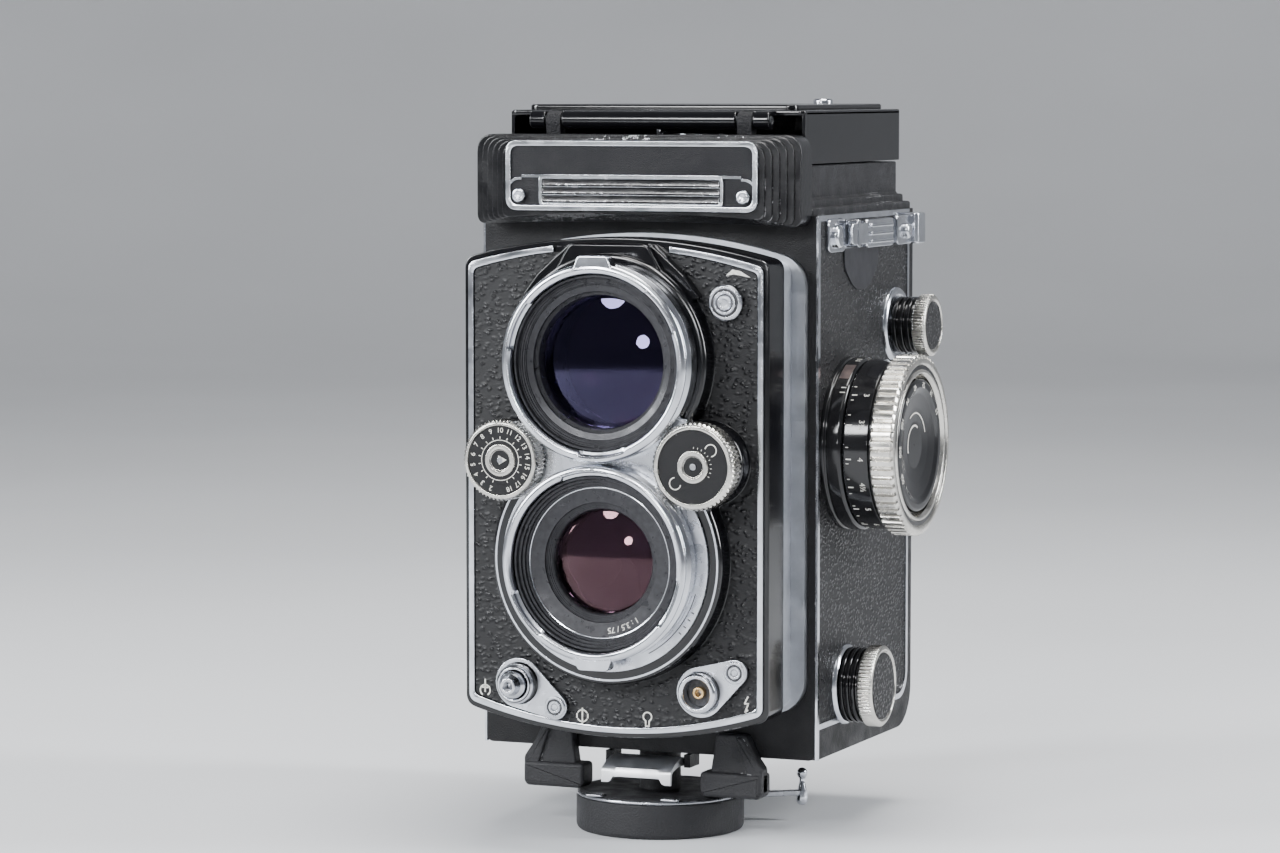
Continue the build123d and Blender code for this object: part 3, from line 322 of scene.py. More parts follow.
def turn_on(axis, centre):
    """A matrix from a lathe's own space, spun about Z, to an axis through a centre."""
    turns = {"x": Matrix(((0, 0, 1), (1, 0, 0), (0, 1, 0))),
             "y": Matrix(((1, 0, 0), (0, 0, 1), (0, 1, 0))),
             "z": Matrix.Identity(3)}
    place = {"x": (0.0, centre[1], centre[2]), "y": (centre[0], 0.0, centre[2]),
             "z": (centre[0], centre[1], 0.0)}
    return Matrix.Translation(place[axis]) @ turns[axis].to_4x4()


def spin(bm, profile, axis, centre, steps=96, shape=None, closed=True):
    """Turns a profile of (along the axis, radius) points into a ring or a solid of revolution."""
    matrix = turn_on(axis, centre)
    rings = []
    for k in range(steps):
        angle = 2 * math.pi * k / steps
        ring = []
        for along, radius in profile:
            if shape:
                along, radius = shape(k, along, radius)
            spot = (radius * math.cos(angle), radius * math.sin(angle), along)
            ring.append(bm.verts.new(matrix @ Vector(spot)))
        rings.append(ring)
    last = len(profile) if closed else len(profile) - 1
    for k in range(steps):
        here, there = rings[k], rings[(k + 1) % steps]
        for i in range(last):
            j = (i + 1) % len(profile)
            bm.faces.new((here[i], here[j], there[j], there[i]))
    return rings


def make_piece(name, bm, finish, slot, body, *nodes, sharp=32.0):
    """Closes a mesh drawn in millimetres and fixes it to its body in place of its nodes."""
    bmesh.ops.remove_doubles(bm, verts=bm.verts, dist=0.0008)
    bmesh.ops.dissolve_degenerate(bm, edges=bm.edges, dist=0.0004)
    bmesh.ops.recalc_face_normals(bm, faces=bm.faces)
    bmesh.ops.scale(bm, vec=(mm, mm, mm), verts=bm.verts)
    mesh = bpy.data.meshes.new(name)
    bm.to_mesh(mesh)
    bm.free()
    mesh.polygons.foreach_set("use_smooth", [True] * len(mesh.polygons))
    mesh.set_sharp_from_angle(angle=math.radians(sharp))
    mesh.materials.append(finish)
    made = bpy.data.objects.new(name, mesh)
    even = made.modifiers.new("even_shading", "WEIGHTED_NORMAL")
    even.weight = 100
    even.keep_sharp = True
    bpy.context.scene.collection.objects.link(made)
    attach(made, body)
    if nodes:
        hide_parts(*nodes)
    return made


def turned_piece(name, profile, axis, centre, finish, slot, body, *nodes, steps=128, shape=None,
                 edge=0.15):
    bm = bmesh.new()
    spin(bm, soften(profile, edge, steps=3), axis, centre, steps, shape)
    return make_piece(name, bm, finish, slot, body, *nodes)


lacquer = enamel("black_lacquer", 0.006, 0.00001, 0.10, 0.05, (0.008, 0.008, 0.009))
knob_axis = centre_of("focus_knob")
collar_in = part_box("focus_collar")[0].x / mm
collar_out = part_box("focus_collar")[1].x / mm
collar_r = 18.6
turned_piece("focus_collar", [(collar_in, 0.05), (collar_in, collar_r), (collar_in + 1.5, collar_r),
             (collar_in + 1.7, collar_r - 0.35), (collar_in + 2.1, collar_r - 0.35),
             (collar_in + 2.3, collar_r), (collar_out - 0.5, collar_r), (collar_out, collar_r - 0.5),
             (collar_out, 16.6), (collar_in + 1.8, 16.6), (collar_in + 1.8, 2.2), (collar_in + 1.0, 0.05)],
             "x", knob_axis, lacquer, "gloss_enamel", "camera_body", "focus_collar", edge=0.3)


def curved_strip(bm, inner, outer, x0, x1, first, last, centre, count=12):
    """A thin plate bent round the knob's axis, between two angles in degrees."""
    matrix = turn_on("x", centre)
    rows = []
    for k in range(count + 1):
        angle = math.radians(first + (last - first) * k / count)
        spots = [(inner, x0), (outer, x0), (outer, x1), (inner, x1)]
        rows.append([bm.verts.new(matrix @ Vector((r * math.cos(angle), r * math.sin(angle), x)))
                     for r, x in spots])
    for here, there in zip(rows, rows[1:]):
        for i in range(4):
            j = (i + 1) % 4
            bm.faces.new((here[i], here[j], there[j], there[i]))
    bm.faces.new(rows[0])
    bm.faces.new(rows[-1][::-1])


index_tone, tree, shader = new_finish("index_plate", (0.16, 0.13, 0.12), metallic=0.6, roughness=0.35)
tree.links.new(tint_between(tree, mottle(tree, 500.0, 0.0, 1.0), (0.20, 0.15, 0.14), (0.10, 0.08, 0.08)),
               shader.inputs["Base Color"])
bm = bmesh.new()
curved_strip(bm, collar_r - 0.2, collar_r + 0.12, collar_in + 2.5, collar_out - 0.6, 112.0, 128.0, knob_axis)
make_piece("index_plate", bm, index_tone, "gloss_enamel", "camera_body")
# Off-white engraving paint, duller where thumbs have rubbed it.
paint, tree, shader = new_finish("engraving_paint", (0.80, 0.79, 0.74), roughness=0.5)
tree.links.new(tint_between(tree, mottle(tree, 1500.0, 0.0, 1.0), (0.84, 0.83, 0.78), (0.52, 0.50, 0.44)),
               shader.inputs["Base Color"])
bm = bmesh.new()
for angle in (100.0, 104.0, 136.0, 140.0):
    curved_strip(bm, collar_r - 0.1, collar_r + 0.04, collar_out - 1.7, collar_out - 0.6,
                 angle - 0.35, angle + 0.35, knob_axis, 2)
make_piece("index_marks", bm, paint, "gloss_enamel", "camera_body")

# ---------------------------------------------------------------------------
# Distance drum: the black lacquered sleeve that turns with the knob. Its scale
# is engraved round the edge and filled with off-white paint.
# ---------------------------------------------------------------------------
drum_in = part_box("distance_drum")[0].x / mm
drum_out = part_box("distance_drum")[1].x / mm
drum_r = 18.2
turned_piece("distance_drum", [(drum_in, 16.6), (drum_in, drum_r - 0.25), (drum_in + 0.25, drum_r),
             (drum_out - 0.8, drum_r), (drum_out - 0.6, drum_r - 0.5), (drum_out, drum_r - 0.5),
             (drum_out, 2.1), (drum_out - 1.2, 2.1), (drum_out - 1.2, 16.6)],
             "x", knob_axis, lacquer, "gloss_enamel", "focusing_knob", "distance_drum", edge=0.12)
turned_piece("drum_edge_line", [(drum_in - 0.02, drum_r - 1.0), (drum_in - 0.02, drum_r - 0.3),
             (drum_in + 0.12, drum_r - 0.12), (drum_in + 0.2, drum_r - 1.0)],
             "x", knob_axis, chrome, "chrome_plate", "focusing_knob", edge=0.02)


def glyph_mesh(text, size):
    """The faces of a short engraved figure, centred on its own middle, as points and faces."""
    letters = bpy.data.curves.new("figure", "FONT")
    letters.body = text
    letters.size = size
    letters.align_x = "CENTER"
    letters.align_y = "CENTER"
    letters.resolution_u = 3
    holder = bpy.data.objects.new("figure", letters)
    bpy.context.scene.collection.objects.link(holder)
    bpy.context.view_layer.update()
    flat = bpy.data.meshes.new_from_object(holder)
    spots = [tuple(v.co) for v in flat.vertices]
    faces = [tuple(p.vertices) for p in flat.polygons]
    bpy.data.objects.remove(holder)
    bpy.data.curves.remove(letters)
    bpy.data.meshes.remove(flat)
    return spots, faces


def engrave(bm, text, size, place, thickness=0.03):
    """Lays a figure on a surface; place(u, v, lift) gives the point in millimetres."""
    spots, faces = glyph_mesh(text, size)
    low = [bm.verts.new(place(u, v, -thickness)) for u, v, _ in spots]
    top = [bm.verts.new(place(u, v, thickness)) for u, v, _ in spots]
    edges = {}
    for face in faces:
        bm.faces.new([top[i] for i in face])
        bm.faces.new([low[i] for i in reversed(face)])
        for a, b in zip(face, face[1:] + face[:1]):
            edges[(a, b)] = edges.get((b, a), 0) + 1
    border = [e for e in edges if (e[1], e[0]) not in edges]
    for a, b in border:
        bm.faces.new((top[b], top[a], low[a], low[b]))


def drum_place(angle, along):
    """Figures stand with their feet towards the body and run round the drum."""
    def place(u, v, lift):
        turn = math.radians(angle) + u / drum_r
        r = drum_r + lift
        return Vector((along + v, knob_axis.y + r * math.cos(turn), knob_axis.z + r * math.sin(turn)))
    return place


bm = bmesh.new()
scale = (("3", 141.0), ("3¾", 163.0), ("4", 186.0), ("4½", 206.0), ("5", 225.0), ("6", 246.0),
         ("8", 268.0), ("10", 290.0), ("15", 312.0), ("30", 334.0), ("60", 356.0))
for text, angle in scale:
    engrave(bm, text, 1.75, drum_place(angle, drum_in + 3.9))
    curved_strip(bm, drum_r - 0.1, drum_r + 0.03, drum_in + 0.7, drum_in + 1.9, angle - 0.4, angle + 0.4,
                 knob_axis, 2)
for k in range(22):
    angle = 134.0 + k * 11.0
    curved_strip(bm, drum_r - 0.1, drum_r + 0.03, drum_in + 0.7, drum_in + 1.3, angle - 0.25, angle + 0.25,
                 knob_axis, 2)
make_piece("distance_scale", bm, paint, "gloss_enamel", "focusing_knob")

# ---------------------------------------------------------------------------
# Focusing knob: a turned, nickel plated wheel with broad flat ribs cut round its
# rim, and a black dished centre that holds the film reminder disc.
# ---------------------------------------------------------------------------
ribs = 60
steps_each = 8
wheel_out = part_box("focus_knob")[1].x / mm
wheel_in = wheel_out - 5.2
wheel_r = 19.4
nickel = bare_metal("knurled_nickel", (0.74, 0.72, 0.67), 0.14, 0.32, depth=0.000003)
rib_shape = (0.0, 0.02, 0.02, 0.02, 0.0, -0.62, -0.78, -0.62)


def broad_ribs(k, along, radius):
    if radius < wheel_r - 0.75:
        return along, radius
    return along, radius + rib_shape[k % steps_each] * min(1.0, (radius - wheel_r + 0.85) / 0.5)


turned_piece("focus_wheel", [(wheel_in, 2.1), (wheel_in, wheel_r - 0.5), (wheel_in + 0.35, wheel_r),
             (wheel_out - 0.55, wheel_r), (wheel_out - 0.1, wheel_r - 0.7), (wheel_out, wheel_r - 1.2),
             (wheel_out, wheel_r - 1.9), (wheel_out - 0.5, wheel_r - 2.2), (wheel_out - 0.5, wheel_r - 3.1),
             (wheel_out - 0.1, wheel_r - 3.3), (wheel_out - 0.1, wheel_r - 3.9),
             (wheel_out - 0.9, wheel_r - 4.4), (wheel_out - 2.5, wheel_r - 4.7), (wheel_out - 2.5, 0.05),
             (wheel_out - 3.6, 0.05)],
             "x", knob_axis, nickel, "knurled_nickel", "focusing_knob", "focus_knob",
             steps=ribs * steps_each, shape=broad_ribs, edge=0.12)
turned_piece("wheel_groove_paint", [(wheel_out - 0.52, wheel_r - 2.1), (wheel_out - 0.38, wheel_r - 2.25),
             (wheel_out - 0.38, wheel_r - 3.05), (wheel_out - 0.52, wheel_r - 3.2)],
             "x", knob_axis, lacquer, "gloss_enamel", "focusing_knob", edge=0.02)
dial_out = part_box("reminder_dial")[1].x / mm
turned_piece("reminder_disc", [(dial_out - 1.9, 0.05), (dial_out - 1.9, 14.3), (dial_out - 0.3, 14.3),
             (dial_out, 13.9), (dial_out, 12.4), (dial_out - 0.35, 11.6), (dial_out - 0.5, 11.2),
             (dial_out - 1.0, 8.0), (dial_out - 1.3, 5.0), (dial_out - 1.3, 0.05)],
             "x", knob_axis, lacquer, "lens_black", "reminder_disc", "reminder_dial", edge=0.25)


def disc_place(radius, angle, face, centre, lean=0.0):
    """Figures on a face across the knob's axis, feet towards the middle."""
    def place(u, v, lift):
        turn = math.radians(angle)
        out = Vector((0, math.cos(turn), math.sin(turn)))
        side = Vector((0, math.sin(turn), -math.cos(turn)))
        spot = out * (radius + v) - side * u
        return Vector((face + lift - lean * v, centre.y + spot.y, centre.z + spot.z))
    return place


bm = bmesh.new()
for text, angle in (("12", 30.0), ("16", 55.0), ("25", 80.0), ("40", 105.0), ("64", 130.0), ("100", 155.0),
                    ("200", 182.0), ("400", 209.0)):
    engrave(bm, text, 1.7, disc_place(12.9, angle, dial_out, knob_axis))


def arc_line(bm, centre, face, radius, width, first, last, axis="x", thick=0.04, count=20):
    """A flat painted arc on a face that looks along an axis."""
    frame_turn = turn_on(axis, centre)
    rows = []
    for k in range(count + 1):
        a = math.radians(first + (last - first) * k / count)
        spots = [(radius - width / 2, -thick), (radius + width / 2, -thick), (radius + width / 2, thick),
                 (radius - width / 2, thick)]
        rows.append([bm.verts.new(frame_turn @ Vector((r * math.cos(a), r * math.sin(a), face + h)))
                     for r, h in spots])
    whole = abs(last - first) > 359.9
    for here, there in zip(rows, rows[1:]):
        for i in range(4):
            j = (i + 1) % 4
            bm.faces.new((here[i], here[j], there[j], there[i]))
    if not whole:
        bm.faces.new(rows[0])
        bm.faces.new(rows[-1][::-1])


arc_line(bm, knob_axis, dial_out - 1.3, 4.2, 0.4, 60.0, 200.0)
arc_line(bm, knob_axis, dial_out - 1.1, 6.9, 0.3, 20.0, 120.0)
make_piece("reminder_figures", bm, paint, "lens_black", "reminder_disc")
paint_node("focus_shaft", steel)

# ---------------------------------------------------------------------------
# Film spool knobs: knurled, plated rims with a leather disc in the face. Each
# sits on a black ringed sleeve and pulls out to free the spool behind it.
# ---------------------------------------------------------------------------
body_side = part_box("side_leatherette")[1].x / mm


def fine_knurl(depth, rim, flat=0.45):
    """Straight fine knurling on whatever reaches out to the rim's radius."""
    def shape(k, along, radius):
        if radius < rim - 0.42:
            return along, radius
        wave = (0.0, -0.3, -1.0, -1.0, -0.3, 0.0)[k % 6]
        return along, radius + wave * depth * min(1.0, (radius - rim + 0.42) / flat)
    return shape


def spool_knob(label, knob_node, sleeve_node, rim, width, grip_body, plunger_body, teeth):
    middle = centre_of(knob_node)
    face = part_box(knob_node)[1].x / mm
    back = face - width
    turned_piece(label + "_knob", [(back, 2.08), (back, rim - 0.5), (back + 0.4, rim),
                 (face - 0.5, rim), (face - 0.1, rim - 0.5), (face, rim - 0.8), (face, rim - 1.15),
                 (face - 0.35, rim - 1.35), (face - 0.35, 0.05), (face - 1.0, 0.05), (face - 1.0, 2.08)],
                 "x", middle, nickel, "knurled_nickel", grip_body, knob_node,
                 steps=teeth * 6, shape=fine_knurl(0.28, rim), edge=0.1)
    turned_piece(label + "_leather", [(face - 0.4, 0.05), (face - 0.4, rim - 1.5), (face - 0.12, rim - 1.6),
                 (face - 0.04, rim - 2.0), (face - 0.02, 0.05)],
                 "x", middle, side_hide, "leatherette", grip_body, edge=0.1)
    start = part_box("side_flanges")[1].x / mm + 0.3
    pitch = (back - 0.15 - start) / 3
    profile = [(start, 0.05)]
    for i in range(3):
        x = start + pitch * i
        profile += [(x, rim - 0.75), (x + 0.12, rim - 0.6), (x + pitch * 0.5, rim - 0.6),
                    (x + pitch * 0.62, rim - 0.75), (x + pitch * 0.62, rim - 1.4), (x + pitch, rim - 1.4)]
    profile += [(back - 0.15, rim - 1.4), (back - 0.15, 1.98), (face - 1.2, 1.98), (face - 1.2, 0.05)]
    turned_piece(label + "_sleeve", profile, "x", middle, lacquer, "chrome_plate", plunger_body, edge=0.05)
    pin_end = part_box(sleeve_node)[0].x / mm
    turned_piece(label + "_spindle", [(pin_end, 0.05), (pin_end, 1.6), (pin_end + 0.5, 1.98),
                 (start + 0.2, 1.98), (start + 0.2, 0.05)], "x", middle, steel, "chrome_plate",
                 plunger_body, sleeve_node, steps=48, edge=0.1)


spool_knob("takeup", "takeup_knob", "takeup_spindle", 6.87, 3.16, "takeup_grip", "takeup_plunger", 62)
spool_knob("supply", "supply_knob", "supply_spindle", 8.78, 3.4, "supply_grip", "supply_plunger", 64)

# ---------------------------------------------------------------------------
# Knob flanges: turned and chromed discs riveted to both sides of the casting,
# under the knobs on the right and over the fixed spool pins and crank at left.
# ---------------------------------------------------------------------------
takeup_spot = centre_of("takeup_knob")
supply_spot = centre_of("supply_knob")
crank_spot = centre_of("crank_hub")
case_side = body_side - 0.6


def side_disc(name, side, spot, radius, proud, bore, *nodes):
    base = side * case_side
    face = side * (body_side + proud)
    lip = side * (body_side + proud - 0.35)
    profile = [(base, bore), (base, radius), (side * (body_side + 0.2), radius), (lip, radius - 0.25),
               (face, radius - 0.7), (face, radius * 0.55 + bore), (lip, radius * 0.55 + bore - 0.3),
               (lip, bore)]
    turned_piece(name, profile, "x", spot, chrome, "chrome_plate", "camera_body", *nodes, edge=0.15)


side_disc("takeup_flange", 1, takeup_spot, 8.47, 1.0, 2.1, "side_flanges")
side_disc("supply_flange", 1, supply_spot, 8.78, 1.0, 2.1)
side_disc("far_supply_disc", -1, supply_spot, 7.3, 1.2, 0.05)
side_disc("far_takeup_disc", -1, takeup_spot, 6.87, 1.2, 0.05)
side_disc("crank_flange", -1, crank_spot, 12.0, 1.4, 3.0)
bm = bmesh.new()
for spot in (takeup_spot, supply_spot):
    spin(bm, soften([(-28.5, 0.05), (-28.5, 1.6), (-29.0, 1.98), (-case_side, 1.98), (-case_side, 0.05)],
                    0.1),
         "x", spot, 48)
make_piece("far_spool_pins", bm, steel, "chrome_plate", "camera_body")

# ---------------------------------------------------------------------------
# Winding crank: a nickelled hub with a folding steel arm. The arm lies in the
# hub's slot on a cross pin, with its small turned grip towards the body.
# ---------------------------------------------------------------------------
for name in ("crank_hub", "crank_arm"):
    paint_node(name, chrome)

# ---------------------------------------------------------------------------
# Strap lugs: a chromed plate screwed to each side with a steel tongue below it,
# two posts, and a sliding ribbed catch on the strap bar between them.
# ---------------------------------------------------------------------------


def outline_block(bm, outline, axis, low, high, edge=0.2, steps=2):
    """Extrudes a rounded outline along an axis, with its two rims rounded over."""
    count = len(outline)
    normals = []
    for i in range(count):
        along = (Vector(outline[(i + 1) % count]) - Vector(outline[i - 1]))
        normals.append(Vector((along.y, -along.x)).normalized() if along.length > 1e-9 else Vector((0, 0)))
    area = sum(outline[i - 1][0] * outline[i][1] - outline[i][0] * outline[i - 1][1] for i in range(count))
    inward = -1.0 if area > 0 else 1.0
    levels = [(low + edge * (1 - math.cos(math.pi / 2 * k / steps)),
               edge * (1 - math.sin(math.pi / 2 * k / steps))) for k in range(steps + 1)]
    levels += [(high - (z - low), inset) for z, inset in reversed(levels)]
    rings = []
    for w, inset in levels:
        ring = []
        for (u, v), normal in zip(outline, normals):
            u, v = u + inward * normal.x * inset, v + inward * normal.y * inset
            spot = {"x": (w, u, v), "y": (u, w, v), "z": (u, v, w)}[axis]
            ring.append(bm.verts.new(spot))
        rings.append(ring)
    for here, there in zip(rings, rings[1:]):
        for i in range(count):
            j = (i + 1) % count
            bm.faces.new((here[i], here[j], there[j], there[i]))
    bm.faces.new(rings[0])
    bm.faces.new(rings[-1][::-1])


def box_outline(u0, u1, v0, v1, radius, steps=4):
    return soften([(u0, v0), (u1, v0), (u1, v1), (u0, v1)], radius, steps=steps)


dark_steel = bare_metal("blued_steel", (0.09, 0.09, 0.10), 0.30, 0.45)
lug_low, lug_high = (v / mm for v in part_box("strap_lugs"))
lug_front, lug_rear = lug_low.y, lug_high.y
lug_z0 = 125.2
lug_z1 = 131.8
for side, label in ((1, "right"), (-1, "left")):
    def across(low, high):
        return sorted((side * (body_side + low), side * (body_side + high)))

    bm = bmesh.new()
    outline_block(bm, box_outline(lug_front, lug_front + 10.2, lug_z0, lug_z1 + 0.5, 1.6), "x",
                  *across(-0.1, 0.9), 0.25)
    outline_block(bm, box_outline(lug_front + 9.0, lug_rear - 8.0, lug_z0 + 0.6, lug_z1 - 0.4, 0.5), "x",
                  *across(-0.1, 0.5), 0.15)
    outline_block(bm, box_outline(lug_front + 11.2, lug_front + 12.8, lug_z0 + 0.8, lug_z1 + 0.2, 0.5), "x",
                  *across(0.2, 3.5), 0.3)
    outline_block(bm, box_outline(lug_front + 8.4, lug_front + 18.0, lug_z0 + 1.4, lug_z1 - 0.6, 0.8), "x",
                  *across(2.3, 3.3), 0.3)
    outline_block(bm, box_outline(lug_rear - 17.0, lug_rear - 7.4, lug_z0 + 0.3, lug_z1 + 0.2, 0.9), "x",
                  *across(0.3, 1.6), 0.3)
    make_piece("strap_plate_" + label, bm, chrome, "chrome_plate", "camera_body",
               *(("strap_lugs",) if side > 0 else ()))
    bm = bmesh.new()
    clip_front = lug_front + 18.4
    clip_rear = clip_front + 17.0
    outline_block(bm, box_outline(clip_front, clip_rear, lug_z0 + 0.5, lug_z1, 0.9), "x",
                  *across(1.6, 3.0), 0.35)
    for k in range(3):
        low = lug_z0 + 1.35 + k * 1.72
        outline_block(bm, box_outline(clip_front + 1.3, clip_rear - 1.3, low, low + 0.95, 0.46), "x",
                      *across(2.7, 3.6), 0.35)
    make_piece("strap_catch_" + label, bm, chrome, "chrome_plate", "camera_body")
    bm = bmesh.new()
    for spot, size in ((lug_front + 4.6, 2.5), (lug_rear - 11.5, 1.7)):
        spot = (0.0, spot, (lug_z0 + lug_z1) / 2)
        head = [(0.6, 0.05), (0.6, size), (1.5, size), (1.9, size - 0.45), (1.9, 0.05)]
        profile = [(side * (body_side + a + (0.8 if size < 2 else 0.1)), r) for a, r in head]
        spin(bm, soften(profile, 0.2), "x", spot, 40)
    cap_y = lug_rear - 3.0
    cap = soften([(body_side - 1.2, cap_y - 4.6), (body_side + 3.2, cap_y - 4.6),
                  (body_side + 3.2, cap_y + 1.0),
                  (body_side + 1.2, cap_y + 3.0), (body_side - 1.2, cap_y + 3.0)], [0.4, 1.2, 2.4, 1.4, 0.4])
    outline_block(bm, [(side * u, v) for u, v in cap], "z", lug_z0 + 0.3, lug_z1 + 0.6, 0.5)
    make_piece("strap_post_" + label, bm, chrome, "chrome_plate", "camera_body")
    bm = bmesh.new()
    tongue = soften([(9.4, lug_z0 + 1.0), (31.0, lug_z0 + 1.0), (31.0, 121.5), (24.5, 116.5), (16.0, 116.5),
                     (9.4, 121.5)], [0.3, 0.3, 6.0, 5.0, 5.0, 6.0], steps=8)
    outline_block(bm, tongue, "x", *across(-0.05, 0.42), 0.15)
    make_piece("strap_tongue_" + label, bm, dark_steel, "chrome_plate", "camera_body")

# ---------------------------------------------------------------------------
# Front feet: two wrinkle enamelled castings screwed under the front edge, each
# a sloping upright with a block-shaped toe.
# ---------------------------------------------------------------------------
foot_low, foot_high = (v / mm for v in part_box("front_feet"))
bm = bmesh.new()
for side in (-1, 1):
    upright = soften([(16.9, foot_high.z), (23.6, foot_high.z), (27.2, 15.2), (27.6, 14.4), (27.6, 9.4),
                      (15.6, 9.4), (15.6, 14.4)], [0.6, 0.8, 1.0, 0.8, 0.8, 0.8, 1.2])
    outline_block(bm, [(side * u, v) for u, v in upright], "y", foot_low.y + 1.2, -6.9, 0.5, 3)
    toe = soften([(13.5, 14.4), (27.6, 14.4), (27.6, 9.9), (26.8, foot_low.z), (14.3, foot_low.z),
                  (13.5, 9.9)],
                 [1.0, 1.0, 0.6, 0.8, 0.8, 0.6])
    outline_block(bm, [(side * u, v) for u, v in toe], "y", foot_low.y, -5.1, 0.9, 4)
    fillet_line = soften([(27.6, 13.0), (27.6, 15.4), (22.9, foot_high.z - 0.4), (21.5, foot_high.z - 0.4),
                          (24.6, 13.0)], 0.5)
    outline_block(bm, [(side * u, v) for u, v in fillet_line], "y", foot_low.y + 0.5, -6.9, 0.4, 3)
cast_feet = enamel("foot_enamel", 0.00042, 0.00008, 0.45, 0.30, (0.022, 0.022, 0.024))
make_piece("front_feet", bm, cast_feet, "crinkle_enamel", "camera_body", "front_feet")

# ---------------------------------------------------------------------------
# Door latch: a pressed, brushed chrome tab on a cross pin. Its front is rolled
# down into two legs, with a shallow thumb recess across the middle.
# ---------------------------------------------------------------------------
latch_low, latch_high = (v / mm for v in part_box("door_latch"))
bm = bmesh.new()
across_count = 24
rows = []
for k in range(across_count + 1):
    t = k / across_count
    x = latch_low.x + (latch_high.x - latch_low.x) * t
    rim = min(t, 1 - t) * (latch_high.x - latch_low.x)
    dip = 0.55 * max(0.0, min(1.0, (rim - 2.2) / 1.6))
    leg = 1.9 * max(0.0, min(1.0, (2.4 - rim) / 0.5))
    front = latch_low.y
    base = 15.6
    profile = [(-5.1, base + 0.35), (-6.6, base + 1.0), (-9.0, base + 0.7 - dip * 0.3),
               (-11.0, base + 0.2 - dip), (front + 1.6, base - 0.5 - dip * 0.5), (front + 0.5, base - 1.0),
               (front, base - 1.9), (front, base - 2.9 - leg * 0.7), (front + 0.7, base - 3.0 - leg * 0.7),
               (front + 0.95, base - 1.9), (front + 1.8, base - 1.35 - dip * 0.3), (-9.0, base - 0.75),
               (-6.6, base - 0.95), (-5.2, base - 0.85)]
    rows.append([bm.verts.new((x, y, z)) for y, z in profile])
for here, there in zip(rows, rows[1:]):
    for i in range(len(here)):
        j = (i + 1) % len(here)
        bm.faces.new((here[i], here[j], there[j], there[i]))
bm.faces.new(rows[0])
bm.faces.new(rows[-1][::-1])
brushed = bare_metal("brushed_chrome", (0.80, 0.81, 0.83), 0.34, 0.50, brush=(0.03, 1.0, 1.0), depth=0.000006)
make_piece("door_latch", bm, brushed, "chrome_plate", "latch", "door_latch", sharp=40)

# ---------------------------------------------------------------------------
# Tripod plate: a wrinkle enamelled round shoe screwed to the door's bottom, with
# a thin chromed ring, two riveted pads and the threaded bush in the middle.
# ---------------------------------------------------------------------------
shoe_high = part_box("tripod_plate")[1] / mm
shoe_r = 18.2
shoe_top = 8.6
turned_piece("tripod_shoe", [(0.0, 4.76), (0.0, shoe_r - 0.9), (0.25, shoe_r - 0.3), (0.9, shoe_r),
             (shoe_top - 1.3, shoe_r), (shoe_top - 1.1, shoe_r - 0.5), (shoe_top - 0.3, shoe_r - 0.7),
             (shoe_top, shoe_r - 1.2), (shoe_top, 4.5), (shoe_high.z, 4.5), (shoe_high.z, 0.05),
             (6.0, 0.05), (6.0, 4.76)],
             "z", (0, 0, 0), cast_feet, "crinkle_enamel", "door", "tripod_plate", edge=0.25)
turned_piece("shoe_ring", [(shoe_top - 1.05, shoe_r - 0.9), (shoe_top - 1.05, shoe_r - 0.15),
             (shoe_top - 0.75, shoe_r - 0.05), (shoe_top - 0.45, shoe_r - 0.2),
                           (shoe_top - 0.4, shoe_r - 0.9)],
             "z", (0, 0, 0), steel, "chrome_plate", "door", edge=0.1)
bm = bmesh.new()
for x in (-8.6, 8.6):
    pad = box_outline(x - 2.0, x + 2.0, -17.0, -14.0, 0.9)
    outline_block(bm, pad, "z", shoe_top - 0.1, shoe_top + 0.35, 0.15)
spin(bm, [(0.02, 4.7), (0.02, 6.4), (0.2, 6.6), (5.9, 6.6), (5.9, 4.7)], "z", (0, 0, 0), 96)
make_piece("shoe_pads", bm, steel, "chrome_plate", "door")
bm = bmesh.new()
turns = 5
per_turn = 48
rail = []
for k in range(turns * per_turn + 1):
    a = 2 * math.pi * k / per_turn
    z = 0.4 + 1.0 * k / per_turn
    row = [bm.verts.new((r * math.cos(a), r * math.sin(a), z + h)) for r, h in ((4.77, -0.42), (4.3, 0.0),
                                                                               (4.77, 0.42))]
    rail.append(row)
for here, there in zip(rail, rail[1:]):
    for i in range(3):
        j = (i + 1) % 3
        bm.faces.new((here[i], here[j], there[j], there[i]))
bm.faces.new(rail[0])
bm.faces.new(rail[-1][::-1])
make_piece("bush_thread", bm, steel, "chrome_plate", "door")

# ---------------------------------------------------------------------------
# Clamp lever: a thin steel arm out of the shoe's slot, ending in a pear-shaped
# chromed grip with a small ball above it.
# ---------------------------------------------------------------------------
clamp_turn = math.radians(36.0)
clamp_z = 6.2
pivot = (14.6 * math.cos(clamp_turn), 14.6 * math.sin(clamp_turn), clamp_z)
tip = (32.0 * math.cos(clamp_turn), 32.0 * math.sin(clamp_turn), clamp_z)
bm = bmesh.new()
spin(bm, soften([(clamp_z - 0.95, 1.0), (clamp_z - 0.95, 2.8), (clamp_z + 0.95, 2.8), (clamp_z + 0.95, 1.0)],
                0.2), "z", pivot, 48)
side = Vector((-math.sin(clamp_turn), math.cos(clamp_turn)))
path = [Vector(pivot).lerp(Vector(tip), t).to_2d() for t in (0.12, 0.4, 0.7, 0.96)]
widths = (1.3, 0.95, 0.8, 0.8)
blade = [tuple(p + side * w) for p, w in zip(path, widths)]
blade += [tuple(p - side * w) for p, w in reversed(list(zip(path, widths)))]
outline_block(bm, blade, "z", clamp_z - 0.6, clamp_z + 0.6, 0.2)
make_piece("clamp_arm", bm, steel, "chrome_plate", "clamp", "clamp_lever")
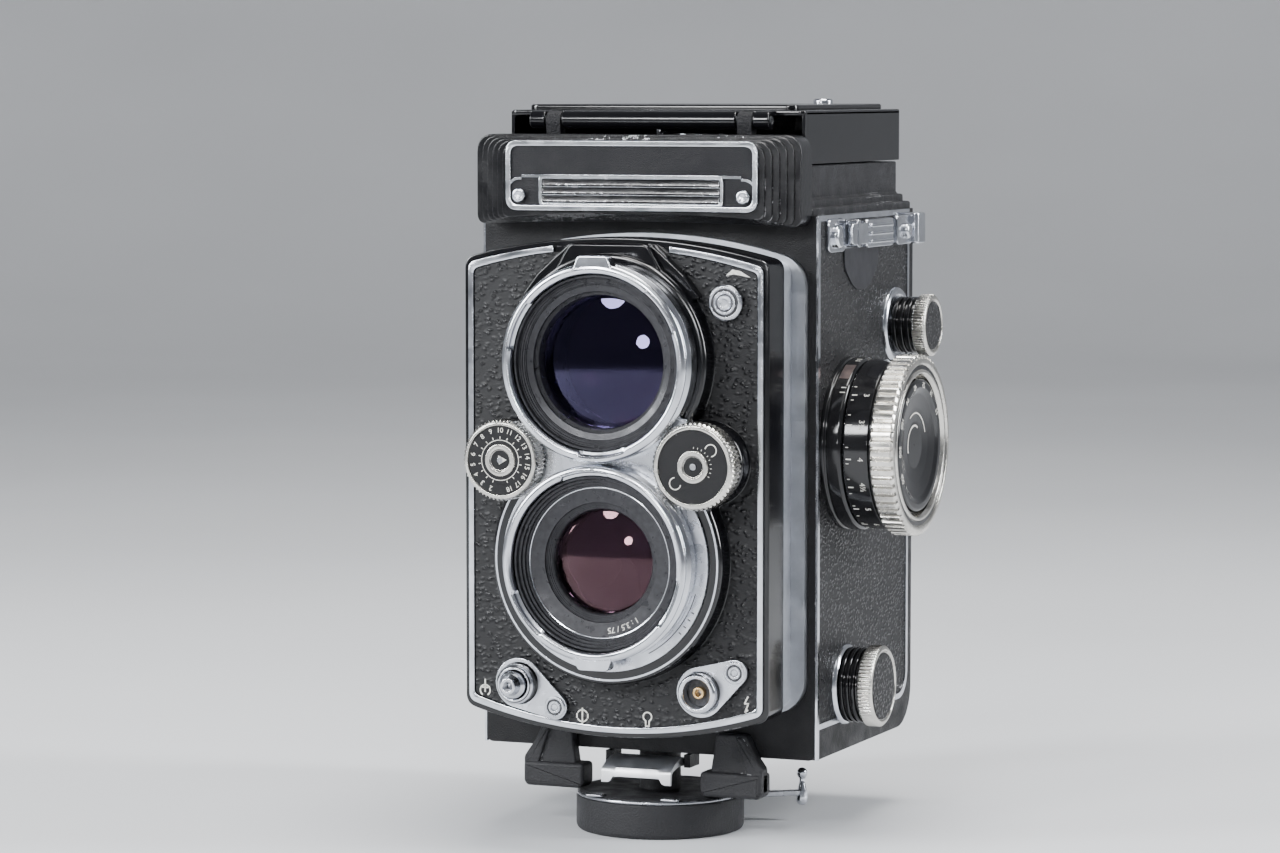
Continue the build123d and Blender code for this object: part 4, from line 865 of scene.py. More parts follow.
turned_piece("clamp_grip", [(clamp_z - 2.75, 0.05), (clamp_z - 2.7, 0.7), (clamp_z - 2.2, 1.15),
             (clamp_z - 1.2, 1.24), (clamp_z + 0.6, 1.05), (clamp_z + 2.4, 0.62), (clamp_z + 3.1, 0.6),
             (clamp_z + 3.4, 0.85), (clamp_z + 4.0, 1.15), (clamp_z + 4.7, 1.15), (clamp_z + 5.3, 0.75),
             (clamp_z + 5.55, 0.05)], "z", tip, chrome, "chrome_plate", "clamp", steps=40, edge=0.3)

# ---------------------------------------------------------------------------
# Lens board: a gloss enamelled pressing with a deep skirt, which slides in and
# out over the body's face. A chrome strip is rolled round its front edge.
# ---------------------------------------------------------------------------
board_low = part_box("front_plate")[0] / mm
trim_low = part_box("front_trim")[0] / mm
board_face = board_low.y
trim_face = trim_low.y
taking_z = 61.0
viewing_z = 103.0


def board_outline(grow, corner):
    """The board's edge, clockwise from its top left corner, with crowned top and bottom."""
    half = 33.6 + grow
    points, radii = [], []
    for z_end, sag, direction in ((123.1 + grow, 4.6, 1), (29.4 - grow, -5.4, -1)):
        radius = (half * half + sag * sag) / (2 * abs(sag))
        flat = half - corner - 0.8
        points.append((-direction * half, z_end))
        radii.append(corner)
        for k in range(49):
            x = direction * flat * (k / 24 - 1)
            drop = radius - math.sqrt(radius * radius - x * x)
            points.append((x, z_end + math.copysign(abs(sag) - drop, sag)))
            radii.append(0.0)
        points.append((direction * half, z_end))
        radii.append(corner)
    return soften(points, radii, steps=7)


def stack_outlines(bm, levels, axis="y", fill_first=True, fill_last=True):
    """Skins between matching outlines at rising distances along an axis."""
    rings = []
    for outline, along in levels:
        rings.append([bm.verts.new((u, along, v) if axis == "y" else (u, v, along)) for u, v in outline])
    count = len(rings[0])
    for here, there in zip(rings, rings[1:]):
        for i in range(count):
            j = (i + 1) % count
            bm.faces.new((here[i], here[j], there[j], there[i]))
    if fill_first:
        bm.faces.new(rings[0])
    if fill_last:
        bm.faces.new(rings[-1][::-1])
    return rings


def cut_sheet(name, loops, front, back, edge):
    """A flat sheet that looks along -Y, with holes, and its rims rounded by edge."""
    curve = bpy.data.curves.new(name, "CURVE")
    curve.dimensions = "2D"
    curve.fill_mode = "BOTH"
    curve.extrude = ((back - front) / 2 - edge)
    curve.bevel_depth = edge
    curve.bevel_resolution = 1
    curve.offset = -edge
    for loop in loops:
        spline = curve.splines.new("POLY")
        spline.points.add(len(loop) - 1)
        for point, (u, v) in zip(spline.points, loop):
            point.co = (u, v, 0.0, 1.0)
        spline.use_cyclic_u = True
    holder = bpy.data.objects.new(name, curve)
    bpy.context.scene.collection.objects.link(holder)
    bpy.context.view_layer.update()
    flat = bpy.data.meshes.new_from_object(holder)
    bm = bmesh.new()
    bm.from_mesh(flat)
    for vert in bm.verts:
        u, v, w = vert.co
        vert.co = (u, (front + back) / 2 - w, v)
    bpy.data.objects.remove(holder)
    bpy.data.curves.remove(curve)
    bpy.data.meshes.remove(flat)
    return bm


def ring_loop(x, z, radius, count=96, first=0.0, last=360.0):
    turns = count if last - first > 359.9 else count + 1
    return [(x + radius * math.cos(math.radians(first + (last - first) * k / count)),
             z + radius * math.sin(math.radians(first + (last - first) * k / count))) for k in range(turns)]


margin = 1.05
skirt_back = -16.5
bm = bmesh.new()
rim = [(board_outline(margin - 1.4, 2.4), board_face), (board_outline(margin - 0.35, 3.1), board_face),
       (board_outline(margin - 0.1, 3.3), board_face + 0.12), (board_outline(margin, 3.4), board_face + 0.4),
       (board_outline(margin, 3.4), skirt_back - 0.2), (board_outline(margin - 0.15, 3.3), skirt_back),
       (board_outline(margin - 0.75, 2.7), skirt_back), (board_outline(margin - 0.9, 2.6), skirt_back - 0.2),
       (board_outline(margin - 0.9, 2.6), board_face + 1.5),
       (board_outline(margin - 1.4, 2.4), board_face + 1.5)]
rings = stack_outlines(bm, rim, fill_first=False, fill_last=False)
for i in range(len(rings[0])):
    j = (i + 1) % len(rings[0])
    bm.faces.new((rings[-1][i], rings[-1][j], rings[0][j], rings[0][i]))
make_piece("board_skirt", bm, gloss, "gloss_enamel", "front_standard")
bm = cut_sheet("board", [board_outline(margin - 1.38, 2.4), ring_loop(0, taking_z, 15.0),
                         ring_loop(0, viewing_z, 15.0)], board_face + 0.02, board_face + 1.5, 0.05)
for side in (-1, 1):
    rail = box_outline(board_face + 1.4, 4.5, 80.8, 86.8, 0.3)
    outline_block(bm, rail, "x", *sorted((side * 30.3, side * 31.7)), 0.1)
    spin(bm, [(side * 30.6, 0.05), (side * 30.6, 0.95), (side * 33.4, 0.95), (side * 33.4, 0.05)],
         "x", (0, 3.1, 83.8), 32)
make_piece("lens_board", bm, gloss, "gloss_enamel", "front_standard", "front_plate")


def trim_path(grow, corner, gap):
    points = board_outline(grow, corner)
    start = min(range(len(points)), key=lambda i: abs(points[i][0] - gap) + (0 if points[i][1] > 80 else 99))
    run = points[start:] + points[:start]
    while run and abs(run[-1][0]) < gap and run[-1][1] > 80:
        run.pop()
    return run


outer_run, inner_run = trim_path(-0.02, 2.6, 12.6), trim_path(-1.3, 1.6, 12.6)
strip = outer_run + inner_run[::-1]
bm = cut_sheet("board_trim", [strip], trim_face, board_face + 0.02, 0.22)
make_piece("board_trim", bm, chrome, "chrome_plate", "front_standard", "front_trim")

# ---------------------------------------------------------------------------
# Board leather: coarse pebbled hide glued inside the chrome strip, cut away
# round the lens housing, the release, the flash socket and the small levers.
# ---------------------------------------------------------------------------
release_spot = centre_of("release_collar")
socket_spot = centre_of("flash_socket")
sync_spot = centre_of("sync_lever")
bm = cut_sheet("board_leather", [board_outline(-1.42, 1.5), ring_loop(0, taking_z, 18.0),
                                 ring_loop(0, viewing_z, 18.0),
                                 ring_loop(release_spot.x, release_spot.z, 4.1, 40),
                                 ring_loop(socket_spot.x, socket_spot.z, 4.1, 40)],
               board_face - 0.5, board_face + 0.01, 0.18)
make_piece("board_leather", bm, front_hide, "leatherette", "front_standard", "front_leatherette")

# ---------------------------------------------------------------------------
# Lens housing: one black enamelled casting round both lenses and the exposure
# wheels, with a fine chrome line turned into the rim of its lower ring.
# ---------------------------------------------------------------------------
housing_face = -30.5
wheel_z = 82.0
wheel_x = 21.8


def join_outline(circles, steps=360):
    """The outer edge of overlapping discs, seen from a point inside them all."""
    spots = []
    for k in range(steps):
        angle = 2 * math.pi * k / steps
        ray = Vector((math.cos(angle), math.sin(angle)))
        best = 0.0
        for x, z, r in circles:
            offset = Vector((x, z - wheel_z))
            along = offset.dot(ray)
            off = offset.length_squared - along * along
            if off < r * r:
                best = max(best, along + math.sqrt(r * r - off))
        spots.append((ray.x * best, wheel_z + ray.y * best))
    return spots


def smooth_outline(points, passes):
    for _ in range(passes):
        points = [tuple((Vector(points[i - 1]) + 2 * Vector(points[i])
                         + Vector(points[(i + 1) % len(points)])) / 4)
                  for i in range(len(points))]
    return points


barrel_r = 18.5
taking_boss_r, viewing_boss_r = 26.2, 22.6
aperture_boss_r, shutter_boss_r = 8.2, 8.8
case_discs = [(0, taking_z, taking_boss_r), (0, viewing_z, viewing_boss_r),
              (-wheel_x, wheel_z, aperture_boss_r), (wheel_x, wheel_z, shutter_boss_r)]
case_edge = smooth_outline(join_outline(case_discs), 4)


def grow_outline(points, amount):
    count = len(points)
    grown = []
    for i in range(count):
        along = Vector(points[(i + 1) % count]) - Vector(points[i - 1])
        normal = Vector((along.y, -along.x)).normalized()
        grown.append(tuple(Vector(points[i]) + normal * amount))
    return grown


bm = bmesh.new()
stack_outlines(bm, [(grow_outline(case_edge, -1.5), housing_face),
                    (grow_outline(case_edge, -0.75), housing_face),
                    (grow_outline(case_edge, -0.35), housing_face + 0.15),
                    (grow_outline(case_edge, -0.1), housing_face + 0.5), (case_edge, housing_face + 1.0),
                    (grow_outline(case_edge, 0.05), board_face - 0.6),
                    (grow_outline(case_edge, 0.35), board_face - 0.45),
                    (grow_outline(case_edge, 0.35), board_face)])
housing_mesh = make_piece("lens_housing", bm, gloss, "gloss_enamel", "front_standard", "lens_housing")
cutter_bm = bmesh.new()
for z in (taking_z, viewing_z):
    spin(cutter_bm, [(-60.0, 0.01), (-60.0, barrel_r), (-10.0, barrel_r), (-10.0, 0.01)], "y", (0, 0, z), 128)
bmesh.ops.remove_doubles(cutter_bm, verts=cutter_bm.verts, dist=0.02)
bmesh.ops.recalc_face_normals(cutter_bm, faces=cutter_bm.faces)
bmesh.ops.scale(cutter_bm, vec=(mm, mm, mm), verts=cutter_bm.verts)
cutter_mesh = bpy.data.meshes.new("lens_bores")
cutter_bm.to_mesh(cutter_mesh)
cutter_bm.free()
cutter = bpy.data.objects.new("lens_bores", cutter_mesh)
bpy.context.scene.collection.objects.link(cutter)
bore = housing_mesh.modifiers.new("bores", "BOOLEAN")
bore.operation = "DIFFERENCE"
bore.object = cutter
bore.solver = "EXACT"
bpy.context.view_layer.update()
bored = bpy.data.meshes.new_from_object(housing_mesh.evaluated_get(bpy.context.evaluated_depsgraph_get()))
housing_mesh.modifiers.clear()
housing_mesh.data = bored
bored.polygons.foreach_set("use_smooth", [True] * len(bored.polygons))
bored.set_sharp_from_angle(angle=math.radians(30))
bpy.data.objects.remove(cutter)
bm = bmesh.new()
arc_line(bm, (0, 0, taking_z), 0, 25.15, 0.42, -222.0, 42.0, axis="y", thick=0.06, count=120)
bmesh.ops.translate(bm, vec=(0, housing_face, 0), verts=bm.verts)
make_piece("housing_line", bm, chrome, "chrome_plate", "front_standard")

# ---------------------------------------------------------------------------
# Shutter face: the flat, satin chromed front of the shutter, which shows as a
# ring round the taking lens and as webs between the wheels and the lenses.
# ---------------------------------------------------------------------------
face_front = housing_face - 0.7
waist = [(-18.6, 91.5)] + ring_loop(0, viewing_z, 18.6, 24, -143.0, -37.0) + [(18.6, 91.5)]
ring = ring_loop(0, taking_z, 23.3, 160, -222.0, 42.0)
web = ring + waist[::-1]
bm = cut_sheet("shutter_face", [web, ring_loop(0, taking_z, 18.5)], face_front, housing_face + 0.05, 0.12)
satin_chrome = bare_metal("shutter_satin", (0.70, 0.72, 0.77), 0.20, 0.36, depth=0.000002)
make_piece("shutter_face", bm, satin_chrome, "satin_alloy", "front_standard", "exposure_scale_ring")
bm = bmesh.new()
for k in range(4):
    angle = -40.0 + k * 4.5
    arc_line(bm, (0, 0, taking_z), 0, 22.3, 0.7, angle - 0.35, angle + 0.35, axis="y",
             thick=0.02, count=1)
for first, last in ((-62.0, -16.0), (196.0, 236.0)):
    arc_line(bm, (0, 0, taking_z), 0, 21.4, 0.22, first, last, axis="y", thick=0.02, count=40)
bmesh.ops.translate(bm, vec=(0, face_front - 0.01, 0), verts=bm.verts)
ink, tree, shader = new_finish("black_filling", (0.02, 0.02, 0.022), roughness=0.5)
tree.links.new(tint_between(tree, mottle(tree, 1500.0, 0.0, 1.0), (0.015, 0.015, 0.017), (0.06, 0.06, 0.065)),
               shader.inputs["Base Color"])
make_piece("shutter_scale", bm, ink, "satin_alloy", "front_standard")

# ---------------------------------------------------------------------------
# Filter bayonets: two turned, chromed rings with a lug each, a groove behind the
# front flange, and three cut-outs in the inner edge for a filter's claws.
# ---------------------------------------------------------------------------
ring_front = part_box("filter_bayonets")[0].y / mm
ring_r = 20.75
claw_gaps = ((20.0, 52.0), (140.0, 172.0), (260.0, 292.0))


def bayonet_ring(bm, z, back, lug_up):
    def claws(k, along, radius):
        angle = 360.0 * k / 240
        inside = any(a <= (angle + (0 if lug_up > 0 else 60)) % 360 <= b for a, b in claw_gaps)
        if inside and radius < 19.45 and along < ring_front + 1.3:
            return along, radius + 0.55
        return along, radius

    profile = [(back, 18.62), (back, ring_r - 0.6), (back - 0.3, ring_r), (ring_front + 3.9, ring_r),
               (ring_front + 3.5, ring_r - 0.9), (ring_front + 2.0, ring_r - 0.9),
               (ring_front + 1.6, ring_r - 0.15),
               (ring_front + 0.7, ring_r), (ring_front + 0.15, ring_r - 0.5), (ring_front, ring_r - 1.0),
               (ring_front, 19.3), (ring_front + 0.15, 18.9), (ring_front + 0.5, 18.62),
               (ring_front + 1.25, 18.62)]
    spin(bm, soften(profile, 0.2, steps=2), "y", (0, 0, z), 240, claws)
    top = z + lug_up * ring_r
    lug = soften([(-4.5, top - lug_up * 1.4), (-3.4, top + lug_up * 1.6), (3.4, top + lug_up * 1.6),
                  (4.5, top - lug_up * 1.4)], [0.3, 0.9, 0.9, 0.3])
    outline_block(bm, lug, "y", ring_front + 0.1, ring_front + 3.3, 0.35)


bm = bmesh.new()
bayonet_ring(bm, taking_z, face_front, -1)
bayonet_ring(bm, viewing_z, housing_face, 1)
for z, turn in ((viewing_z, -90.0), (taking_z, 90.0)):
    spin(bm, [(ring_front, 0.02), (ring_front + 0.02, 0.45), (ring_front + 0.3, 0.5),
              (ring_front + 0.3, 0.02)], "y",
         (20.0 * math.cos(math.radians(turn)), 0, z + 20.0 * math.sin(math.radians(turn))), 20)
make_piece("filter_bayonets", bm, chrome, "chrome_plate", "front_standard", "filter_bayonets")

# ---------------------------------------------------------------------------
# Lens barrels: black anodised tubes, turned in steps and fine grooves down to
# the glass so that no bright wall shows in the lens.
# ---------------------------------------------------------------------------
anodised, tree, shader = new_finish("black_anodise", (0.014, 0.014, 0.017), metallic=0.35, roughness=0.3)
tree.links.new(mottle(tree, 500.0, 0.24, 0.42), shader.inputs["Roughness"])
tree.links.new(tint_between(tree, mottle(tree, 900.0, 0.0, 1.0, detail=6.0), (0.012, 0.012, 0.015),
                            (0.028, 0.028, 0.032)), shader.inputs["Base Color"])
relief(tree, shader, mottle(tree, 5000.0, 0.0, 1.0), 0.000004)


def grooves(start_r, end_r, y, pitch, depth, drop):
    """A turned thread of small ridges going inward and slightly back."""
    count = max(1, int((start_r - end_r) / pitch))
    points = []
    for i in range(count):
        r = start_r - (start_r - end_r) * i / count
        step = (start_r - end_r) / count
        back = y + drop * i / count
        points += [(back, r), (back, r - step * 0.45), (back + depth, r - step * 0.55),
                   (back + depth, r - step * 0.95)]
    return points


def lens_barrel(name, node, z, steps):
    profile = [(-13.0, 14.1), (board_face + 0.4, 14.1), (board_face + 0.4, barrel_r),
               (ring_front + 1.7, barrel_r),
               (ring_front + 1.5, 18.3), (ring_front + 1.5, 17.9)] + steps + [(-13.0, steps[-1][1])]
    bm = bmesh.new()
    spin(bm, profile, "y", (0, 0, z), 160)
    return make_piece(name, bm, anodised, "lens_black", "front_standard", node, sharp=25)


taking_steps = [(-35.6, 17.7), (-35.6, 17.2), (-35.0, 17.1), (-35.0, 16.6), (-34.4, 16.5), (-34.4, 16.1)]
taking_steps += [(-33.9, 15.9), (-33.3, 12.7)] + grooves(12.6, 11.3, -32.9, 0.26, 0.18,
                                                         0.9) + [(-31.6, 11.05)]
lens_barrel("taking_barrel", "taking_barrel", taking_z, taking_steps)
viewing_steps = [(-35.6, 17.8)] + grooves(17.7, 16.3, -35.4, 0.35, 0.22, 0.5) + [(-34.6, 16.2), (-34.2, 14.9)]
viewing_steps += grooves(14.8, 14.1, -33.6, 0.23, 0.15, 0.5) + [(-31.6, 14.05)]
lens_barrel("viewing_barrel", "viewing_barrel", viewing_z, viewing_steps)
turned_piece("taking_bezel_line", [(-34.06, 16.0), (-34.1, 15.9), (-34.02, 15.72), (-33.9, 15.9)], "y",
             (0, 0, taking_z), chrome, "chrome_plate", "front_standard", edge=0.0)


def face_place(radius, angle, y, z, cone=0.0):
    """Figures on the conical name ring, reading round the lens as seen from the front."""
    def place(u, v, lift):
        turn = math.radians(angle) - u / radius
        r = radius + v
        return Vector((r * math.cos(turn), y - lift - cone * (radius - r), z + r * math.sin(turn)))
    return place


bm = bmesh.new()
engrave(bm, "1 : 3.5 / 75", 1.75, face_place(14.3, -68.0, -33.6 - 0.02, taking_z, -0.19), 0.03)
for k in range(60):
    angle = math.radians(k * 6)
    spin(bm, [(-33.85, 0.01), (-33.85, 0.09), (-33.7, 0.09), (-33.7, 0.01)], "y",
         (14.95 * math.cos(angle), 0, viewing_z + 14.95 * math.sin(angle)), 6)
make_piece("lens_figures", bm, paint, "lens_black", "front_standard")

# ---------------------------------------------------------------------------
# Lens glasses: a coated front element in each barrel, curved outward, with
# smaller elements behind it. The coating gives a faint violet reflection, and
# the glass is tinted dark as painted shade for the unlit inside of the lens.
# ---------------------------------------------------------------------------


def coated_glass_painted_dark(name, tint):
    # The dark base colour tints all light that passes through: painted shade for the dark inside of the
    # camera, not the colour of the glass itself.
    finish, tree, shader = new_finish(name, (0.24, 0.22, 0.30), roughness=0.0)
    shader.inputs["Transmission Weight"].default_value = 1.0
    shader.inputs["IOR"].default_value = 1.52
    shader.inputs["Specular IOR Level"].default_value = 0.16
    shader.inputs["Specular Tint"].default_value = (*tint, 1.0)
    tree.links.new(mottle(tree, 90.0, 0.0, 0.02), shader.inputs["Roughness"])
    return finish


violet = coated_glass_painted_dark("violet_coated_glass", (0.55, 0.50, 1.0))
amber = coated_glass_painted_dark("amber_coated_glass", (1.0, 0.55, 0.62))


def dome_profile(front, radius, bulge, back, hollow):
    """Half a lens element's section: bulging forward, and hollow or flat behind."""
    count = 14
    profile = []
    for k in range(count + 1):
        r = radius * k / count
        profile.append((front + bulge * (r / radius) ** 2, max(r, 0.01)))
    for k in range(count, -1, -1):
        r = radius * k / count
        profile.append((back - hollow * (1 - (r / radius) ** 2), max(r, 0.01)))
    return profile


def glass_stack(label, node, z, radius, finishes):
    front = ring_front + 5.9
    turned_piece(label + "_front_glass", dome_profile(front, radius - 0.05, 1.5, front + 4.2, 0.6), "y",
                 (0, 0, z), finishes[0], "optical_glass", "front_standard", node, steps=96, edge=0.0)
    turned_piece(label + "_rear_glass", dome_profile(-17.4, radius - 0.4, 1.1, -14.2, -0.4), "y",
                 (0, 0, z), finishes[1], "optical_glass", "front_standard", steps=96, edge=0.0)


# Both stacks use the dark-tinted glass, painted shade for the inside of the lens.
glass_stack("taking", "taking_glass", taking_z, 11.0, (amber, violet))
glass_stack("viewing", "viewing_glass", viewing_z, 14.0, (violet, amber))

# ---------------------------------------------------------------------------
# Shutter: five thin blackened steel leaves that overlap like a fan behind the
# taking lens and close its light path.
# ---------------------------------------------------------------------------
blackened, tree, shader = new_finish("blackened_steel", (0.03, 0.03, 0.035), metallic=0.8, roughness=0.38)
tree.links.new(mottle(tree, 300.0, 0.30, 0.48), shader.inputs["Roughness"])
tree.links.new(tint_between(tree, mottle(tree, 220.0, 0.0, 1.0), (0.006, 0.006, 0.009),
                            (0.014, 0.014, 0.018)),
               shader.inputs["Base Color"])
bm = bmesh.new()
for k in range(5):
    turn = 2 * math.pi * k / 5
    leaf = [(-1.6, 0.0), (10.6, -0.6), (10.4, 3.0), (8.6, 6.4), (5.6, 8.8), (1.0, 9.8), (-2.2, 4.2)]
    leaf = soften(leaf, 1.6, steps=4)
    spun = [(u * math.cos(turn) - v * math.sin(turn), taking_z + u * math.sin(turn) + v * math.cos(turn))
            for u, v in leaf]
    outline_block(bm, spun, "y", -24.0 + 0.22 * k, -23.88 + 0.22 * k, 0.03, 1)
make_piece("shutter_leaves", bm, blackened, "steel", "front_standard", "shutter_leaves")

# ---------------------------------------------------------------------------
# Exposure wheels: knurled, chromed discs either side of the lenses. The left one
# carries the scale in white on black crackle, the right one two loop marks.
# ---------------------------------------------------------------------------
wheel_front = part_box("aperture_wheel")[0].y / mm
wheel_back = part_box("aperture_wheel")[1].y / mm
crackle = enamel("crackle_paint", 0.00016, 0.00003, 0.40, 0.0, (0.006, 0.006, 0.007))


def teeth_shape(rim, depth, pattern):
    def shape(k, along, radius):
        if radius < rim - 0.45:
            return along, radius
        return along, radius - depth * pattern[k % len(pattern)] * min(1.0, (radius - rim + 0.45) / 0.4)
    return shape


def exposure_wheel(node, body, x, rim, teeth, pattern, hollow):
    front, back = wheel_front, wheel_back
    profile = [(back, 1.62), (back, rim - 0.4), (back - 0.3, rim), (front + 0.7, rim),
               (front + 0.2, rim - 0.45), (front + 0.02, rim - 0.75), (front, rim - 1.0),
               (front, hollow), (front + 0.4, hollow - 0.12), (front + 0.4, 3.5), (front + 0.05, 3.35),
               (front, 3.2), (front, 2.4), (front + 0.35, 2.2), (front + 0.35, 0.05), (front + 1.0, 0.05),
               (front + 1.0, 1.62)]
    turned_piece(node, profile, "y", (x, 0, wheel_z), nickel, "knurled_nickel", body, node,
                 steps=teeth * len(pattern), shape=teeth_shape(rim, 0.32, pattern), edge=0.08)
    turned_piece(node + "_face", [(front + 0.42, 3.45), (front + 0.3, 3.5), (front + 0.3, hollow - 0.2),
                 (front + 0.42, hollow - 0.1)], "y", (x, 0, wheel_z), crackle, "knurled_nickel", body,
                 edge=0.02)
    turned_piece(node + "_hub", [(front + 0.4, 0.05), (front + 0.2, 0.05), (front + 0.2, 0.7),
                 (front + 0.32, 0.85), (front + 0.25, 2.0), (front + 0.4, 2.2)], "y", (x, 0, wheel_z),
                 crackle, "knurled_nickel", body, edge=0.05, steps=48)
    turned_piece(node + "_screw", [(front + 0.3, 0.05), (front + 0.1, 0.05), (front + 0.1, 0.6),
                 (front + 0.3, 0.75)], "y", (x, 0, wheel_z), steel, "knurled_nickel", body, edge=0.05,
                 steps=32)


exposure_wheel("aperture_wheel", "aperture_control", -wheel_x, 8.6, 60, (0, 0, 1, 1), 7.4)
exposure_wheel("shutter_wheel", "shutter_control", wheel_x, 9.2, 54, (0, 0, 0, 1, 1), 7.8)


def dial_place(x, z, radius, angle, y):
    def place(u, v, lift):
        turn = math.radians(angle)
        out = Vector((math.cos(turn), math.sin(turn)))
        side = Vector((math.sin(turn), -math.cos(turn)))
        spot = out * (radius + v) + side * u
        return Vector((x + spot.x, y - lift, z + spot.y))
    return place


bm = bmesh.new()
for k in range(17):
    engrave(bm, str(k + 2), 1.5, dial_place(-wheel_x, wheel_z, 6.3, 250.0 - k * 20.0, wheel_front + 0.3),
            0.03)
    arc_line(bm, (-wheel_x, 0, wheel_z), wheel_front + 0.3, 4.75, 0.5, 249.0 - k * 20.0, 251.0 - k * 20.0,
             axis="y", thick=0.03, count=1)
arc_line(bm, (-wheel_x, 0, wheel_z), wheel_front + 0.3, 4.25, 0.14, 0.0, 360.0, axis="y", thick=0.03,
         count=60)
pointer = [(-wheel_x - 0.4, wheel_z + 1.0), (-wheel_x + 1.5, wheel_z + 0.1), (-wheel_x - 0.2, wheel_z - 0.9)]
outline_block(bm, pointer, "y", wheel_front + 0.16, wheel_front + 0.3, 0.02, 1)
make_piece("aperture_figures", bm, paint, "knurled_nickel", "aperture_control")
bm = bmesh.new()
for angle in (42.0, 222.0):
    turn = math.radians(angle)
    x = wheel_x + 5.3 * math.cos(turn)
    z = wheel_z + 5.3 * math.sin(turn)
    arc_line(bm, (x, 0, z), wheel_front + 0.3, 1.25, 0.22, angle - 125.0, angle + 125.0, axis="y", thick=0.03)
for k in range(10):
    angle = -30.0 + k * 13.0
    arc_line(bm, (wheel_x, 0, wheel_z), wheel_front + 0.3, 4.0, 0.35, angle, angle + 1.6, axis="y",
             thick=0.03,
             count=1)
make_piece("shutter_marks", bm, paint, "knurled_nickel", "shutter_control")

# ---------------------------------------------------------------------------
# Release button: a chromed plunger with a threaded socket for a cable release,
# in a black and chrome collar. A thin lever under the collar locks it.
# ---------------------------------------------------------------------------
release_axis = (release_spot.x, 0, release_spot.z)
collar_face = -30.0
tip_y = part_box("release_button")[0].y / mm
turned_piece("release_collar", [(board_face, 3.0), (board_face, 5.0), (-26.6, 5.0), (-27.0, 4.75),
             (-27.7, 4.2), (collar_face + 0.6, 4.2), (collar_face, 3.7), (collar_face + 0.3, 3.0)],
             "y", release_axis, gloss, "chrome_plate", "front_standard", "release_collar", edge=0.15)
turned_piece("release_lip", [(collar_face + 0.5, 3.0), (collar_face - 0.02, 3.3), (collar_face - 0.02, 3.6),
             (collar_face + 0.5, 4.22), (collar_face + 0.9, 4.22), (collar_face + 0.9, 3.0)],
             "y", release_axis, chrome, "chrome_plate", "front_standard", edge=0.08)
turned_piece("release_button", [(-28.6, 0.05), (-28.6, 2.9), (-30.6, 2.9), (-31.0, 2.5), (-31.2, 2.2),
             (-32.5, 1.85), (tip_y + 0.1, 1.75), (tip_y, 1.6), (tip_y, 1.15), (tip_y + 0.25, 0.9),
             (tip_y + 1.6, 0.9), (tip_y + 1.6, 0.05)],
             "y", release_axis, chrome, "chrome_plate", "release", "release_button", edge=0.1)
bm = bmesh.new()
rail = []
for k in range(4 * 24 + 1):
    a = 2 * math.pi * k / 24
    y = tip_y + 0.3 + 0.3 * k / 24
    rail.append([bm.verts.new((release_spot.x + r * math.cos(a), y + h, release_spot.z + r * math.sin(a)))
                 for r, h in ((0.91, -0.12), (0.74, 0.0), (0.91, 0.12))])
for here, there in zip(rail, rail[1:]):
    for i in range(3):
        j = (i + 1) % 3
        bm.faces.new((here[i], here[j], there[j], there[i]))
bm.faces.new(rail[0])
bm.faces.new(rail[-1][::-1])
make_piece("release_thread", bm, steel, "chrome_plate", "release")


def finger_lever(node, body, spot, pad, ring_r, bore):
    """A flat lever round a collar, with a raised finger pad turned in rings."""
    sheet_front, sheet_back = -27.25, -26.35
    dx, dz = pad[0] - spot.x, pad[1] - spot.z
    reach = math.hypot(dx, dz)
    angle = math.atan2(dz, dx)
    pad_r = 2.7
    lean = math.acos((ring_r - pad_r) / reach)
    points = []
    for k in range(33):
        a = lean + (2 * math.pi - 2 * lean) * k / 32
        points.append((ring_r * math.cos(a), ring_r * math.sin(a)))
    for k in range(17):
        a = -lean + 2 * lean * k / 16
        points.append((reach + pad_r * math.cos(a), pad_r * math.sin(a)))
    turned = [(spot.x + u * math.cos(angle) - v * math.sin(angle),
               spot.z + u * math.sin(angle) + v * math.cos(angle)) for u, v in points]
    bm = cut_sheet(node, [turned, ring_loop(spot.x, spot.z, bore, 64)], sheet_front, sheet_back, 0.12)
    profile = [(sheet_back - 0.3, 0.03), (sheet_back - 0.3, 2.4), (sheet_front - 0.2, 2.4),
               (sheet_front - 0.45, 2.2), (sheet_front - 0.45, 1.8), (sheet_front - 0.15, 1.65),
               (sheet_front - 0.15, 1.4), (sheet_front - 0.5, 1.25), (sheet_front - 0.5, 0.85),
               (sheet_front - 0.25, 0.7), (sheet_front - 0.3, 0.03)]
    spin(bm, soften(profile, 0.06, steps=2), "y", (pad[0], 0, pad[1]), 64)
    make_piece(node, bm, satin_chrome, "steel", body, node)
    bm = bmesh.new()
    for radius in (0.77, 1.52):
        arc_line(bm, (pad[0], 0, pad[1]), sheet_front - 0.2, radius, 0.22, 0.0, 360.0, axis="y", thick=0.1,
                 count=48)
    make_piece(node + "_rings", bm, ink, "steel", body)


finger_lever("release_lock", "release_lock_lever", release_spot, (-13.1, 29.0), 5.35, 4.3)
finger_lever("socket_lock", "socket_lock_lever", socket_spot, (27.8, 38.4), 5.35, 4.3)

